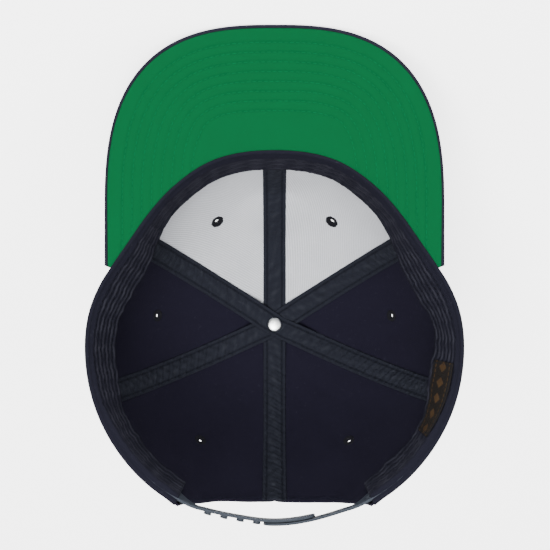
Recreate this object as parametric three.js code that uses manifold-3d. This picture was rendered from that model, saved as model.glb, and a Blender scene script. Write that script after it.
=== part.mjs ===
// A snapback cap that lies upside down, on the front of its crown and the tip of its visor.
// Six cloth panels meet at a button. Tapes cover their seams inside, a light lining backs the two
// front panels, and a flat visor, a sweatband and a two-piece snap strap finish the rim.
// Sizes are in millimetres. The cap's own frame starts at the crown's centre, where the panels meet,
// with +Y towards the visor and +Z towards the rim. The last lines tilt the cap onto its visor.

import * as THREE from 'three';
import { mergeVertices } from 'three/addons/utils/BufferGeometryUtils.js';
import Module from 'manifold-3d';

const wasm = await Module();
wasm.setup();

// Crown
const crownHalfWidth = 98.7;
const crownHeight = 118;
const clothThickness = 1.2;
const seamGap = 0.3;
const layerGap = 0.3;
const centreHole = 3;
const facetAngle = 8;

// Lining and seam tapes
const liningThickness = 1.0;
const liningStart = 10;
const liningInset = 1.0;
const tapeWidth = 12.7;
const tapeThickness = 1.0;
const tapeTuck = 7;

// Sweatband and its woven label
const bandHeight = 33;
const bandThickness = 1.5;
const bandEnd = 150;
const bandStep = 5;
const labelThickness = 1.0;
const labelHeight = 25;
const labelDrop = 4;
const labelStart = 100;
const labelEnd = 125;

// Visor
const visorLength = 66.1;
const visorHalfWidth = 88.8;
const visorWidestY = 62.5;
const visorSquareness = 2.75;
const visorThickness = 3.6;
const visorSink = 0.5;
const undersideThickness = 1.0;
const visorLip = 1.8;
const visorEdgeRound = 1.2;
const visorEndAngle = 69;
const visorEndWidth = 3.5;
const visorStep = 3;

// Back arch and snap strap
const archHalfWidth = 50;
const archHeight = 50;
const strapHeight = 20;
const strapThickness = 1.5;
const strapDepth = clothThickness + 2 * layerGap;
const strapSink = 1;
const strapTuck = 23;
const strapTipPast = 5.7;
const snapPitch = 8.8;
const snapCount = 7;
const snapsFastened = 3;
const snapTipMargin = 5;
const pegRadius = 2.0;
const pegClearance = 0.3;
const pegStand = 2.4;
const strapStep = 2;

// Button, rivet and eyelets
const buttonRadius = 8;
const buttonHeight = 6;
const rivetRadius = 4.1;
const rivetHeight = 1.6;
const shankRadius = 1.5;
const eyeletRadius = 3.2;
const eyeletHole = 0.9;
const eyeletWall = 0.8;
const eyeletFlange = 0.8;
const eyeletGap = 0.5;
const eyeletClearance = 0.3;
const eyeletSettle = 0.3;

// How deep the cloth is pressed flat where the crown lies on the table
const restFlattening = 2.5;

// The hem's outline: how far it lies from the crown's centre in each direction, in degrees from the
// front, as a share of the crown's half width. It is drawn in where the visor ends.
const hemOutline = [
  { direction: 0, reach: 0.950 },
  { direction: 20, reach: 0.954 },
  { direction: 35, reach: 0.928 },
  { direction: 48, reach: 0.905 },
  { direction: 58, reach: 0.900 },
  { direction: 67, reach: 0.918 },
  { direction: 75, reach: 0.950 },
  { direction: 85, reach: 0.984 },
  { direction: 97, reach: 1.006 },
  { direction: 120, reach: 1.036 },
  { direction: 148, reach: 1.052 },
  { direction: 160, reach: 1.030 },
  { direction: 180, reach: 1.036 },
];

// How boxy the crown's upright section is: 2 is an ellipse, and more has a squarer shoulder.
const crownSection = [
  { direction: 0, squareness: 2.7 },
  { direction: 90, squareness: 2.35 },
  { direction: 180, squareness: 2.1 },
];

// How far the sweatband's free edge stands off the hem's line, as a share of the band's height.
const bandLean = [
  { direction: 0, stand: 0.150 },
  { direction: 28, stand: 0.185 },
  { direction: 39, stand: 0.150 },
  { direction: 48, stand: 0.215 },
  { direction: 60, stand: 0.320 },
  { direction: 73, stand: 0.385 },
  { direction: 85, stand: 0.330 },
  { direction: 95, stand: 0.270 },
  { direction: 104, stand: 0.315 },
  { direction: 121, stand: 0.200 },
  { direction: 136, stand: 0.130 },
  { direction: 180, stand: 0.130 },
];

// The crown's rows of corners, as shares of the way from the centre down to the hem. The lining's
// start and the end under the sweatband join them, so that every layer has the same rows.
const evenRows = [0.09, 0.16, 0.235, 0.31, 0.385, 0.46, 0.535, 0.61, 0.685, 0.76, 0.91, 0.955, 1];

// The seams between panels: each one's direction at the centre and at the hem.
const seams = {
  front: { atCentre: 0, atHem: 0 },
  frontSide: { atCentre: 57.5, atHem: 62.5 },
  backSide: { atCentre: 116, atHem: 110 },
  back: { atCentre: 180, atHem: 180 },
};

// The eyelets: one to a panel, by direction and share of the way down to the hem.
const eyelets = [
  { panel: 'front', direction: 29, share: 0.44, lined: true },
  { panel: 'side', direction: 85, share: 0.43, lined: false },
  { panel: 'back', direction: 147, share: 0.505, lined: false },
];

const colours = {
  navy: 0x1b1c2b,
  charcoal: 0x2b2f3c,
  grey: 0xc4c5ca,
  green: 0x0a7a44,
  slate: 0x56606e,
  silver: 0xd8dcdc,
  black: 0x0c0c0e,
  woven: 0x2a2118,
};

const radians = THREE.MathUtils.degToRad;
const up = new THREE.Vector3(0, 0, 1);

// A smooth curve through a table's rows, mirrored at its first and last direction.
function readTable(table, column, direction) {
  const last = table.length - 1;
  const angle = THREE.MathUtils.clamp(Math.abs(direction), table[0].direction, table[last].direction);
  let k = 0;
  while (k < last - 1 && angle > table[k + 1].direction) k += 1;
  const slope = (row) => {
    if (row === 0 || row === last) return 0;
    const run = table[row + 1].direction - table[row - 1].direction;
    return (table[row + 1][column] - table[row - 1][column]) / run;
  };
  const run = table[k + 1].direction - table[k].direction;
  const s = (angle - table[k].direction) / run;
  const rise = s * s * (3 - 2 * s);
  const lead = s * (1 - s) * (1 - s) * run;
  const tail = s * s * (s - 1) * run;
  const low = table[k][column];
  const high = table[k + 1][column];
  return low + (high - low) * rise + slope(k) * lead + slope(k + 1) * tail;
}

// Directions run past 180 degrees where a piece crosses the back.
function wrapped(direction) {
  const turned = ((direction + 180) % 360 + 360) % 360 - 180;
  return Math.abs(turned);
}

function hemReach(direction) {
  return crownHalfWidth * readTable(hemOutline, 'reach', wrapped(direction));
}

// The crown's section in one direction: reach from the centre line, height and length of cloth.
const sectionSteps = 72;
const sectionCache = new Map();
function crownSectionAt(direction) {
  const key = wrapped(direction).toFixed(4);
  if (sectionCache.has(key)) return sectionCache.get(key);
  const power = 2 / readTable(crownSection, 'squareness', wrapped(direction));
  const reach = hemReach(direction);
  const points = [];
  for (let k = 0; k <= sectionSteps; k += 1) {
    const angle = (k / sectionSteps) * Math.PI / 2;
    const r = reach * Math.sin(angle) ** power;
    const z = crownHeight * (1 - Math.max(0, Math.cos(angle)) ** power);
    const before = points[k - 1];
    const length = k === 0 ? 0 : before.length + Math.hypot(r - before.r, z - before.z);
    points.push({ r, z, length });
  }
  const section = { points, length: points[sectionSteps].length };
  sectionCache.set(key, section);
  return section;
}

// The crown's outer face before it is pressed flat, at a share of the way from centre to hem.
function formPoint(direction, share) {
  const { points, length } = crownSectionAt(direction);
  const wanted = THREE.MathUtils.clamp(share, 0, 1) * length;
  let k = 1;
  while (k < sectionSteps && points[k].length < wanted) k += 1;
  const low = points[k - 1];
  const high = points[k];
  const s = (wanted - low.length) / (high.length - low.length);
  const r = low.r + (high.r - low.r) * s;
  const z = low.z + (high.z - low.z) * s;
  return new THREE.Vector3(r * Math.sin(radians(direction)), r * Math.cos(radians(direction)), z);
}

function inwardNormal(direction, share) {
  const at = THREE.MathUtils.clamp(share, 0.03, 0.985);
  const along = formPoint(direction, at + 0.012).sub(formPoint(direction, at - 0.012));
  const across = formPoint(direction + 1, at).sub(formPoint(direction - 1, at));
  return new THREE.Vector3().crossVectors(along, across).normalize().negate();
}

// Levels of the visor: its underside, its cover's outer face and the seat of the underside.
const undersideLevel = crownHeight - visorSink;
const coverLevel = undersideLevel - visorThickness;
const seatLevel = undersideLevel - undersideThickness - layerGap;

function visorTipY() {
  return hemReach(0) + layerGap + visorLength;
}

// Resting: the lowest line of the crown's front, seen along a tilt, and the tilt at which the
// flattened crown and the visor's tip meet one level table.
function heightAt(point, tilt) {
  return point.z * Math.cos(tilt) - point.y * Math.sin(tilt);
}

function crownLowest(tilt) {
  let lowest = Infinity;
  for (const { r, z } of crownSectionAt(0).points) {
    lowest = Math.min(lowest, heightAt({ y: r, z }, tilt));
  }
  return lowest;
}

// The visor's tip rests on the rounded edge of its cover.
function visorLowest(tilt) {
  const softened = 0.3 * visorEdgeRound;
  const corners = [
    { y: visorTipY(), z: coverLevel + visorThickness / 2 },
    { y: visorTipY() - softened, z: coverLevel + softened },
    { y: visorTipY() - visorEdgeRound, z: coverLevel },
  ];
  return Math.min(...corners.map((corner) => heightAt(corner, tilt)));
}

function restingTilt() {
  let low = radians(5);
  let high = radians(85);
  for (let k = 0; k < 40; k += 1) {
    const middle = (low + high) / 2;
    const visorIsLower = visorLowest(middle) < crownLowest(middle) + restFlattening;
    if (visorIsLower) high = middle;
    else low = middle;
  }
  return (low + high) / 2;
}

const tilt = restingTilt();
const tableLevel = crownLowest(tilt) + restFlattening;
const tableUp = new THREE.Vector3(0, -Math.sin(tilt), Math.cos(tilt));

// A point of the crown at a depth inside its outer face. Every layer is lifted alike where the
// cloth is pressed flat against the table.
function crownPoint(direction, share, depth) {
  const face = formPoint(direction, share);
  const lift = Math.max(0, tableLevel - face.dot(tableUp));
  const point = face.addScaledVector(inwardNormal(direction, share), depth);
  return point.addScaledVector(tableUp, lift);
}

function planReach(direction, share) {
  const point = formPoint(direction, share);
  return Math.hypot(point.x, point.y);
}

function seamDirection(seam, share) {
  return seam.atCentre + (seam.atHem - seam.atCentre) * share;
}

// Meshes
function solidGeometry(points, triangles) {
  const positions = [];
  for (const point of points) positions.push(point.x, point.y, point.z);
  let volume = 0;
  for (const [a, b, c] of triangles) {
    volume += points[a].dot(new THREE.Vector3().crossVectors(points[b], points[c]));
  }
  const index = [];
  for (const [a, b, c] of triangles) {
    if (volume > 0) index.push(a, b, c);
    else index.push(a, c, b);
  }
  const geometry = new THREE.BufferGeometry();
  geometry.setAttribute('position', new THREE.Float32BufferAttribute(positions, 3));
  geometry.setIndex(index);
  return geometry;
}

// A sheet of cloth between two faces: corner(i, j, face) gives a corner, face 0 outside, 1 inside.
function sheet(columns, rows, corner) {
  const points = [];
  const id = (i, j, face) => (i * (rows + 1) + j) * 2 + face;
  for (let i = 0; i <= columns; i += 1) {
    for (let j = 0; j <= rows; j += 1) {
      points.push(corner(i, j, 0), corner(i, j, 1));
    }
  }
  const triangles = [];
  const quad = (a, b, c, d) => triangles.push([a, b, c], [a, c, d]);
  for (let i = 0; i < columns; i += 1) {
    for (let j = 0; j < rows; j += 1) {
      quad(id(i, j, 0), id(i + 1, j, 0), id(i + 1, j + 1, 0), id(i, j + 1, 0));
      quad(id(i, j, 1), id(i, j + 1, 1), id(i + 1, j + 1, 1), id(i + 1, j, 1));
    }
  }
  for (let i = 0; i < columns; i += 1) {
    quad(id(i, 0, 1), id(i + 1, 0, 1), id(i + 1, 0, 0), id(i, 0, 0));
    quad(id(i, rows, 0), id(i + 1, rows, 0), id(i + 1, rows, 1), id(i, rows, 1));
  }
  for (let j = 0; j < rows; j += 1) {
    quad(id(0, j, 0), id(0, j + 1, 0), id(0, j + 1, 1), id(0, j, 1));
    quad(id(columns, j, 1), id(columns, j + 1, 1), id(columns, j + 1, 0), id(columns, j, 0));
  }
  return solidGeometry(points, triangles);
}

// A closed profile carried along stations: profile(k) gives its 2D corners, place(k, corner) where
// each one lies.
function sweep(stations, profile, place) {
  const size = profile(0).length;
  const points = [];
  for (let k = 0; k <= stations; k += 1) {
    for (const corner of profile(k)) points.push(place(k, corner));
  }
  const triangles = [];
  for (let k = 0; k < stations; k += 1) {
    for (let m = 0; m < size; m += 1) {
      const a = k * size + m;
      const b = k * size + (m + 1) % size;
      triangles.push([a, b, b + size], [a, b + size, a + size]);
    }
  }
  const cap = THREE.ShapeUtils.triangulateShape(profile(0), []);
  const clockwise = THREE.ShapeUtils.isClockWise(profile(0));
  const end = stations * size;
  for (const [a, b, c] of cap) {
    if (clockwise) triangles.push([a, c, b], [end + a, end + b, end + c]);
    else triangles.push([a, b, c].reverse(), [end + a, end + b, end + c]);
  }
  return solidGeometry(points, triangles);
}

// A merged copy of a closed mesh, with its faces pointing out.
function closed(geometry) {
  const bare = geometry.clone();
  bare.deleteAttribute('normal');
  bare.deleteAttribute('uv');
  const merged = mergeVertices(bare, 1e-4);
  const { position } = merged.attributes;
  const points = [];
  for (let k = 0; k < position.count; k += 1) {
    points.push(new THREE.Vector3().fromBufferAttribute(position, k));
  }
  const triangles = [];
  for (let k = 0; k < merged.index.count; k += 3) {
    const [a, b, c] = [merged.index.getX(k), merged.index.getX(k + 1), merged.index.getX(k + 2)];
    if (a !== b && b !== c && c !== a) triangles.push([a, b, c]);
  }
  return solidGeometry(points, triangles);
}

function toManifold(geometry) {
  const solid = closed(geometry);
  const vertProperties = new Float32Array(solid.attributes.position.array);
  const triVerts = new Uint32Array(solid.index.array);
  return new wasm.Manifold(new wasm.Mesh({ numProp: 3, vertProperties, triVerts }));
}

function toGeometry(manifold) {
  const mesh = manifold.getMesh();
  const geometry = new THREE.BufferGeometry();
  const positions = new THREE.Float32BufferAttribute(mesh.vertProperties, 3);
  geometry.setAttribute('position', positions);
  geometry.setIndex(Array.from(mesh.triVerts));
  return geometry;
}

function cutWith(geometry, tools) {
  let body = toManifold(geometry);
  for (const tool of tools) body = body.subtract(toManifold(tool));
  return toGeometry(body);
}

function joinWith(geometry, additions) {
  let body = toManifold(geometry);
  for (const addition of additions) body = body.add(toManifold(addition));
  return toGeometry(body);
}

const cap = new THREE.Group();
function add(name, geometry, colour, roughness, metalness) {
  const material = new THREE.MeshStandardMaterial({ color: colour, roughness, metalness });
  const mesh = new THREE.Mesh(geometry, material);
  mesh.name = name;
  cap.add(mesh);
}

// Seats on the crown for the eyelets: a frame with its +Z pointing into the cap.
function eyeletSeat(eyelet, side) {
  const direction = eyelet.direction * side;
  const normal = inwardNormal(direction, eyelet.share);
  const turn = new THREE.Quaternion().setFromUnitVectors(up, normal);
  const seat = new THREE.Matrix4().makeRotationFromQuaternion(turn);
  return seat.setPosition(crownPoint(direction, eyelet.share, eyeletSettle));
}

function eyeletDrill(eyelet, side) {
  const radius = eyeletHole + eyeletWall + eyeletClearance;
  const drill = new THREE.CylinderGeometry(radius, radius, 6 * clothThickness, 10);
  drill.rotateX(Math.PI / 2);
  return drill.applyMatrix4(eyeletSeat(eyelet, side));
}

// The arch over the strap: half an ellipse at the back, open at the hem.
function archTool() {
  const outline = new THREE.Shape();
  const beyond = 5;
  outline.moveTo(-archHalfWidth, -beyond);
  const arcSteps = 18;
  for (let k = 0; k <= arcSteps; k += 1) {
    const angle = (k / arcSteps) * Math.PI;
    outline.lineTo(-archHalfWidth * Math.cos(angle), archHeight * Math.sin(angle));
  }
  outline.lineTo(archHalfWidth, -beyond);
  const tool = new THREE.ExtrudeGeometry(outline, { depth: 2 * crownHalfWidth, bevelEnabled: false });
  const acrossBack = new THREE.Vector3(-1, 0, 0);
  const towardsCrown = new THREE.Vector3(0, 0, -1);
  const backwards = new THREE.Vector3(0, -1, 0);
  tool.applyMatrix4(new THREE.Matrix4().makeBasis(acrossBack, towardsCrown, backwards));
  return tool.translate(0, 0, crownHeight);
}

// Panels and front lining
function panelGeometry(side, first, second, layer) {
  const rows = [layer.start, ...rowShares.filter((share) => share > layer.start && share <= layer.end)];
  const columns = 2 * Math.ceil((second.atHem - first.atHem) / facetAngle / 2);
  return sheet(columns, rows.length - 1, (i, j, face) => {
    const share = rows[j];
    const from = seamDirection(first, share);
    const to = seamDirection(second, share);
    const reach = planReach(side * (from + to) / 2, share);
    const inset = THREE.MathUtils.radToDeg(layer.inset / reach);
    const atEdge = (i === 0 ? inset : 0) - (i === columns ? inset : 0);
    const direction = from + (to - from) * (i / columns) + atEdge;
    return crownPoint(side * direction, share, layer.depth + face * layer.thickness);
  });
}

const sides = [
  { name: 'left', sign: -1 },
  { name: 'right', sign: 1 },
];
const panels = [
  { name: 'front', first: seams.front, second: seams.frontSide },
  { name: 'side', first: seams.frontSide, second: seams.backSide },
  { name: 'back', first: seams.backSide, second: seams.back },
];
const frontLength = crownSectionAt(0).length;
const bandShare = bandHeight / frontLength;
const tuckedEnd = 1 - bandShare + tapeTuck / frontLength;
const liningStartShare = liningStart / frontLength;
const rowShares = [liningStartShare, ...evenRows, tuckedEnd].sort((a, b) => a - b);
const clothLayer = {
  start: centreHole / frontLength,
  end: 1,
  depth: 0,
  thickness: clothThickness,
  inset: seamGap / 2,
};
const liningLayer = {
  start: liningStartShare,
  end: tuckedEnd,
  depth: clothThickness + layerGap,
  thickness: liningThickness,
  inset: liningInset,
};

for (const side of sides) {
  for (const panel of panels) {
    const eyelet = eyelets.find((row) => row.panel === panel.name);
    const tools = [eyeletDrill(eyelet, side.sign)];
    if (panel.name === 'back') tools.push(archTool());
    const cloth = panelGeometry(side.sign, panel.first, panel.second, clothLayer);
    add(`panel_${panel.name}_${side.name}`, cutWith(cloth, tools), colours.navy, 0.9, 0);
    if (eyelet.lined) {
      const lining = panelGeometry(side.sign, panel.first, panel.second, liningLayer);
      const drilled = cutWith(lining, [eyeletDrill(eyelet, side.sign)]);
      add(`lining_${panel.name}_${side.name}`, drilled, colours.grey, 0.9, 0);
    }
  }
}

// Seam tapes: three strips, each from hem to hem over the centre, where they lie on each other.
const overLining = clothThickness + liningThickness + 2 * layerGap;
const overCloth = clothThickness + 1.5 * layerGap;
const stackStep = tapeThickness + layerGap;

function tapeGeometry(from, to, level) {
  const stations = [];
  for (const end of [from, to]) {
    const rows = [...rowShares.filter((share) => share < end.end), end.end];
    const ordered = end === from ? rows.reverse() : rows;
    for (const share of ordered) stations.push({ end, share, turn: end === from ? 1 : -1 });
  }
  return sheet(stations.length - 1, 2, (i, j, face) => {
    const { end, share, turn } = stations[i];
    const seam = end.side * seamDirection(end.seam, share);
    const reach = planReach(seam, share);
    const aside = turn * (j - 1) * tapeWidth / 2;
    const direction = seam + THREE.MathUtils.radToDeg(Math.atan2(aside, reach));
    const flat = 1 - THREE.MathUtils.smoothstep(reach, 0.3 * crownHalfWidth, 0.7 * crownHalfWidth);
    const spread = (Math.hypot(reach, aside) - reach) * flat / frontLength;
    const centre = 1 - THREE.MathUtils.smoothstep(reach, 1.15 * tapeWidth, 2.3 * tapeWidth);
    const seat = overLining * centre + end.seat * (1 - centre) + level * stackStep * centre;
    return crownPoint(direction, share + spread, seat + face * tapeThickness);
  });
}

const archTopShare = 1 - archHeight / crownSectionAt(180).length;
const tapeEnds = {
  front: { seam: seams.front, side: 1, end: tuckedEnd, seat: overLining },
  back: { seam: seams.back, side: 1, end: archTopShare - 0.01, seat: overCloth },
  frontLeft: { seam: seams.frontSide, side: -1, end: tuckedEnd, seat: overLining },
  backLeft: { seam: seams.backSide, side: -1, end: tuckedEnd, seat: overCloth },
  frontRight: { seam: seams.frontSide, side: 1, end: tuckedEnd, seat: overLining },
  backRight: { seam: seams.backSide, side: 1, end: tuckedEnd, seat: overCloth },
};
const tapes = [
  { name: 'tape_centre', from: tapeEnds.front, to: tapeEnds.back },
  { name: 'tape_lower_diagonal', from: tapeEnds.frontRight, to: tapeEnds.backLeft },
  { name: 'tape_upper_diagonal', from: tapeEnds.frontLeft, to: tapeEnds.backRight },
];
const shankHole = shankRadius + layerGap;
const shankDrill = new THREE.CylinderGeometry(shankHole, shankHole, crownHeight / 2, 12);
shankDrill.rotateX(Math.PI / 2);
tapes.forEach((tape, level) => {
  const strip = tapeGeometry(tape.from, tape.to, level);
  add(tape.name, cutWith(strip, [shankDrill]), colours.charcoal, 0.85, 0);
});

// Sweatband: a strip that is sewn to the hem and leans into the crown.
// At the back it stands off the hem by the strap's thickness.
const bandRoot = clothThickness + 1.5 * layerGap;
const bandRootAtStrap = strapDepth + strapThickness + layerGap;
const bandRows = [
  { drop: 0, lean: 0 },
  { drop: 0.3, lean: 0.35 },
  { drop: 0.65, lean: 0.75 },
  { drop: 1, lean: 1 },
];
const bandClear = overLining + tapeThickness + layerGap;

function bandPoint(direction, drop, lean, depth) {
  const stand = bandHeight * readTable(bandLean, 'stand', direction);
  const atStrap = THREE.MathUtils.smoothstep(Math.abs(direction), 0.7 * bandEnd, 0.86 * bandEnd);
  const root = bandRoot + (bandRootAtStrap - bandRoot) * atStrap;
  const reachIn = Math.max(stand - bandThickness, bandClear + layerGap);
  const offset = root + (reachIn - root) * lean;
  const share = 1 - drop * bandHeight / crownSectionAt(direction).length;
  return crownPoint(direction, share, offset + depth);
}

const bandColumns = Math.round(2 * bandEnd / bandStep);
const bandGeometry = sheet(bandColumns, bandRows.length - 1, (i, j, face) => {
  const direction = -bandEnd + 2 * bandEnd * (i / bandColumns);
  return bandPoint(direction, bandRows[j].drop, bandRows[j].lean, face * bandThickness);
});
add('sweatband', bandGeometry, colours.navy, 0.9, 0);

// Label: sewn on the sweatband's inner face, between its hem and its free edge.
const labelColumns = Math.round((labelEnd - labelStart) / bandStep);
const labelRows = 2;
const labelGeometry = sheet(labelColumns, labelRows, (i, j, face) => {
  const direction = labelStart + (labelEnd - labelStart) * (i / labelColumns);
  const drop = (labelDrop + labelHeight * (j / labelRows)) / bandHeight;
  const row = bandRows.findIndex((entry) => entry.drop >= drop);
  const low = bandRows[row - 1];
  const high = bandRows[row];
  const lean = low.lean + (high.lean - low.lean) * (drop - low.drop) / (high.drop - low.drop);
  const depth = bandThickness + 1.5 * layerGap + face * labelThickness;
  return bandPoint(direction, drop, lean, depth);
});
add('label', labelGeometry, colours.woven, 0.8, 0);

// Visor: a flat crescent with a cover that wraps its edge, and an underside let into the cover.
function visorReach(direction) {
  const across = Math.abs(Math.sin(radians(direction)));
  const ahead = Math.cos(radians(direction));
  const length = visorTipY() - visorWidestY;
  const inside = (r) => {
    const x = r * across / visorHalfWidth;
    const y = Math.max(0, r * ahead - visorWidestY) / length;
    return x ** visorSquareness + y ** visorSquareness < 1;
  };
  let low = 0;
  let high = 2 * visorTipY();
  for (let k = 0; k < 40; k += 1) {
    const middle = (low + high) / 2;
    if (inside(middle)) low = middle;
    else high = middle;
  }
  return low;
}

const visorColumns = 2 * Math.round(visorEndAngle / visorStep);
function visorStation(k) {
  const direction = -visorEndAngle + 2 * visorEndAngle * (k / visorColumns);
  const neck = hemReach(direction) + layerGap;
  const width = Math.max(visorReach(direction) - neck, visorEndWidth);
  return { direction, neck, width };
}

function placeOnVisor(k, corner) {
  const { direction, neck } = visorStation(k);
  const reach = neck + corner.x;
  const angle = radians(direction);
  return new THREE.Vector3(reach * Math.sin(angle), reach * Math.cos(angle), corner.y);
}

function coverProfile(k) {
  const { width } = visorStation(k);
  const soft = 0.3 * visorEdgeRound;
  return [
    new THREE.Vector2(0, coverLevel),
    new THREE.Vector2(width - visorEdgeRound, coverLevel),
    new THREE.Vector2(width - soft, coverLevel + soft),
    new THREE.Vector2(width, coverLevel + visorThickness / 2),
    new THREE.Vector2(width - soft, undersideLevel - soft),
    new THREE.Vector2(width - visorEdgeRound, undersideLevel),
    new THREE.Vector2(width - visorLip, undersideLevel),
    new THREE.Vector2(width - visorLip, seatLevel),
    new THREE.Vector2(0, seatLevel),
  ];
}

function undersideProfile(k) {
  const edge = visorStation(k).width - visorLip - layerGap;
  return [
    new THREE.Vector2(0, seatLevel + layerGap),
    new THREE.Vector2(edge, seatLevel + layerGap),
    new THREE.Vector2(edge, undersideLevel),
    new THREE.Vector2(0, undersideLevel),
  ];
}

add('visor_cover', sweep(visorColumns, coverProfile, placeOnVisor), colours.navy, 0.9, 0);
add('visor_underside', sweep(visorColumns, undersideProfile, placeOnVisor), colours.green, 0.85, 0);

// Snap strap: two strips along the hem's line, named by where they lie over each other. Directions
// run on past 180 degrees on the left. Pegs of the inner strip pass holes of the outer strip.
const strapTop = crownHeight - strapSink;
const degreesPerLength = THREE.MathUtils.radToDeg(1 / hemReach(180));
const archAngle = 180 - THREE.MathUtils.radToDeg(Math.asin(archHalfWidth / hemReach(150)));
const rootAngle = archAngle - strapTuck * degreesPerLength;
const overlap = 2 * snapTipMargin + (snapsFastened - 1) * snapPitch;
const outerTip = 180 + strapTipPast * degreesPerLength;
const innerTip = outerTip - overlap * degreesPerLength;

function hemPoint(direction) {
  const reach = hemReach(direction);
  const angle = radians(direction);
  return new THREE.Vector3(reach * Math.sin(angle), reach * Math.cos(angle), 0);
}

function inwardAt(direction) {
  const along = hemPoint(direction + 1).sub(hemPoint(direction - 1)).normalize();
  const inward = new THREE.Vector3(-along.y, along.x, 0);
  return inward.dot(hemPoint(direction)) > 0 ? inward.negate() : inward;
}

function outerStripDepth() {
  return strapDepth;
}

function innerStripDepth(direction) {
  const past = (direction - outerTip) / (360 - rootAngle - outerTip);
  const beside = 1 - THREE.MathUtils.smoothstep(past, 0.1, 0.6);
  return strapDepth + (strapThickness + layerGap) * beside;
}

// How far the crown's wall has drawn in from the hem's line at a height above the centre.
function wallInset(direction, height) {
  const { points } = crownSectionAt(direction);
  const k = points.findIndex((point) => point.z >= height);
  const low = points[k - 1];
  const high = points[k];
  const reach = low.r + (high.r - low.r) * (height - low.z) / (high.z - low.z);
  return hemReach(direction) - reach;
}

function stripPoint(direction, depth, drop) {
  const height = strapTop - drop;
  const inset = depth + wallInset(direction, height);
  return hemPoint(direction).addScaledVector(inwardAt(direction), inset).setZ(height);
}

function stripGeometry(from, to, depthAt) {
  const columns = Math.round(Math.abs(to - from) / strapStep);
  return sheet(columns, 1, (i, j, face) => {
    const direction = from + (to - from) * (i / columns);
    return stripPoint(direction, depthAt(direction) + face * strapThickness, j * strapHeight);
  });
}

// A round bar across the strap, from one depth to another.
function snapBar(direction, radius, fromDepth, toDepth) {
  const bar = new THREE.CylinderGeometry(radius, radius, toDepth - fromDepth, 10);
  const turn = new THREE.Quaternion().setFromUnitVectors(new THREE.Vector3(0, 1, 0), inwardAt(direction));
  const middle = stripPoint(direction, (fromDepth + toDepth) / 2, strapHeight / 2);
  return bar.applyMatrix4(new THREE.Matrix4().makeRotationFromQuaternion(turn).setPosition(middle));
}

const pegs = [];
const holes = [];
for (let k = 0; k < snapCount; k += 1) {
  const along = (snapTipMargin + k * snapPitch) * degreesPerLength;
  const face = innerStripDepth(innerTip + along);
  pegs.push(snapBar(innerTip + along, pegRadius, face - pegStand, face + strapThickness / 2));
  const holeRadius = pegRadius + pegClearance;
  const through = strapThickness;
  holes.push(snapBar(outerTip - along, holeRadius, strapDepth - through, strapDepth + 2 * through));
}
const pegStrip = stripGeometry(innerTip, 360 - rootAngle, innerStripDepth);
const holeStrip = stripGeometry(rootAngle, outerTip, outerStripDepth);
add('strap_with_pegs', joinWith(pegStrip, pegs), colours.slate, 0.5, 0);
add('strap_with_holes', cutWith(holeStrip, holes), colours.slate, 0.5, 0);

// Button outside and rivet inside, at the centre. The rivet's shank passes the tapes.
function turned(profile, segments) {
  const outline = profile.map(([r, z]) => new THREE.Vector2(r, z));
  const geometry = new THREE.LatheGeometry(outline, segments);
  return closed(geometry.rotateX(Math.PI / 2));
}

const buttonProfile = [
  [0, -layerGap],
  [0.92 * buttonRadius, -layerGap],
  [buttonRadius, -layerGap - 0.22 * buttonHeight],
  [0.93 * buttonRadius, -layerGap - 0.55 * buttonHeight],
  [0.64 * buttonRadius, -layerGap - 0.88 * buttonHeight],
  [0, -layerGap - buttonHeight],
];
add('button', turned(buttonProfile, 20), colours.navy, 0.9, 0);

const rivetSeat = overLining + 3 * stackStep + layerGap;
const rivetProfile = [
  [0, 0],
  [shankRadius, 0],
  [shankRadius, rivetSeat],
  [rivetRadius, rivetSeat],
  [rivetRadius, rivetSeat + 0.3 * rivetHeight],
  [0.7 * rivetRadius, rivetSeat + 0.85 * rivetHeight],
  [0, rivetSeat + rivetHeight],
];
add('rivet', turned(rivetProfile, 16), colours.silver, 0.3, 1);

// Eyelets: thread-bound rings through the cloth, with a collar on each side of it.
function eyeletGeometry(eyelet, side) {
  const stack = eyelet.lined ? overLining - layerGap : clothThickness;
  const barrel = eyeletHole + eyeletWall;
  const outside = -eyeletGap;
  const inside = stack + eyeletGap;
  const profile = [
    [eyeletHole, outside - eyeletFlange],
    [0.8 * eyeletRadius, outside - eyeletFlange],
    [eyeletRadius, outside],
    [barrel, outside],
    [barrel, inside],
    [eyeletRadius, inside],
    [0.8 * eyeletRadius, inside + eyeletFlange],
    [eyeletHole, inside + eyeletFlange],
    [eyeletHole, outside - eyeletFlange],
  ];
  return turned(profile, 10).applyMatrix4(eyeletSeat(eyelet, side));
}

for (const side of sides) {
  for (const eyelet of eyelets) {
    add(`eyelet_${eyelet.panel}_${side.name}`, eyeletGeometry(eyelet, side.sign), colours.black, 0.8, 0);
  }
}

// The cap is tilted onto its visor and stood with its lowest point at zero, over the middle.
cap.rotation.x = -tilt;
cap.updateMatrixWorld(true);
const box = new THREE.Box3().setFromObject(cap, true);
const middle = box.getCenter(new THREE.Vector3());
cap.position.set(-middle.x, -middle.y, -box.min.z);

export default cap;
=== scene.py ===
import math
import bmesh
import bpy
import numpy as np
from mathutils import Matrix, Vector


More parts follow.
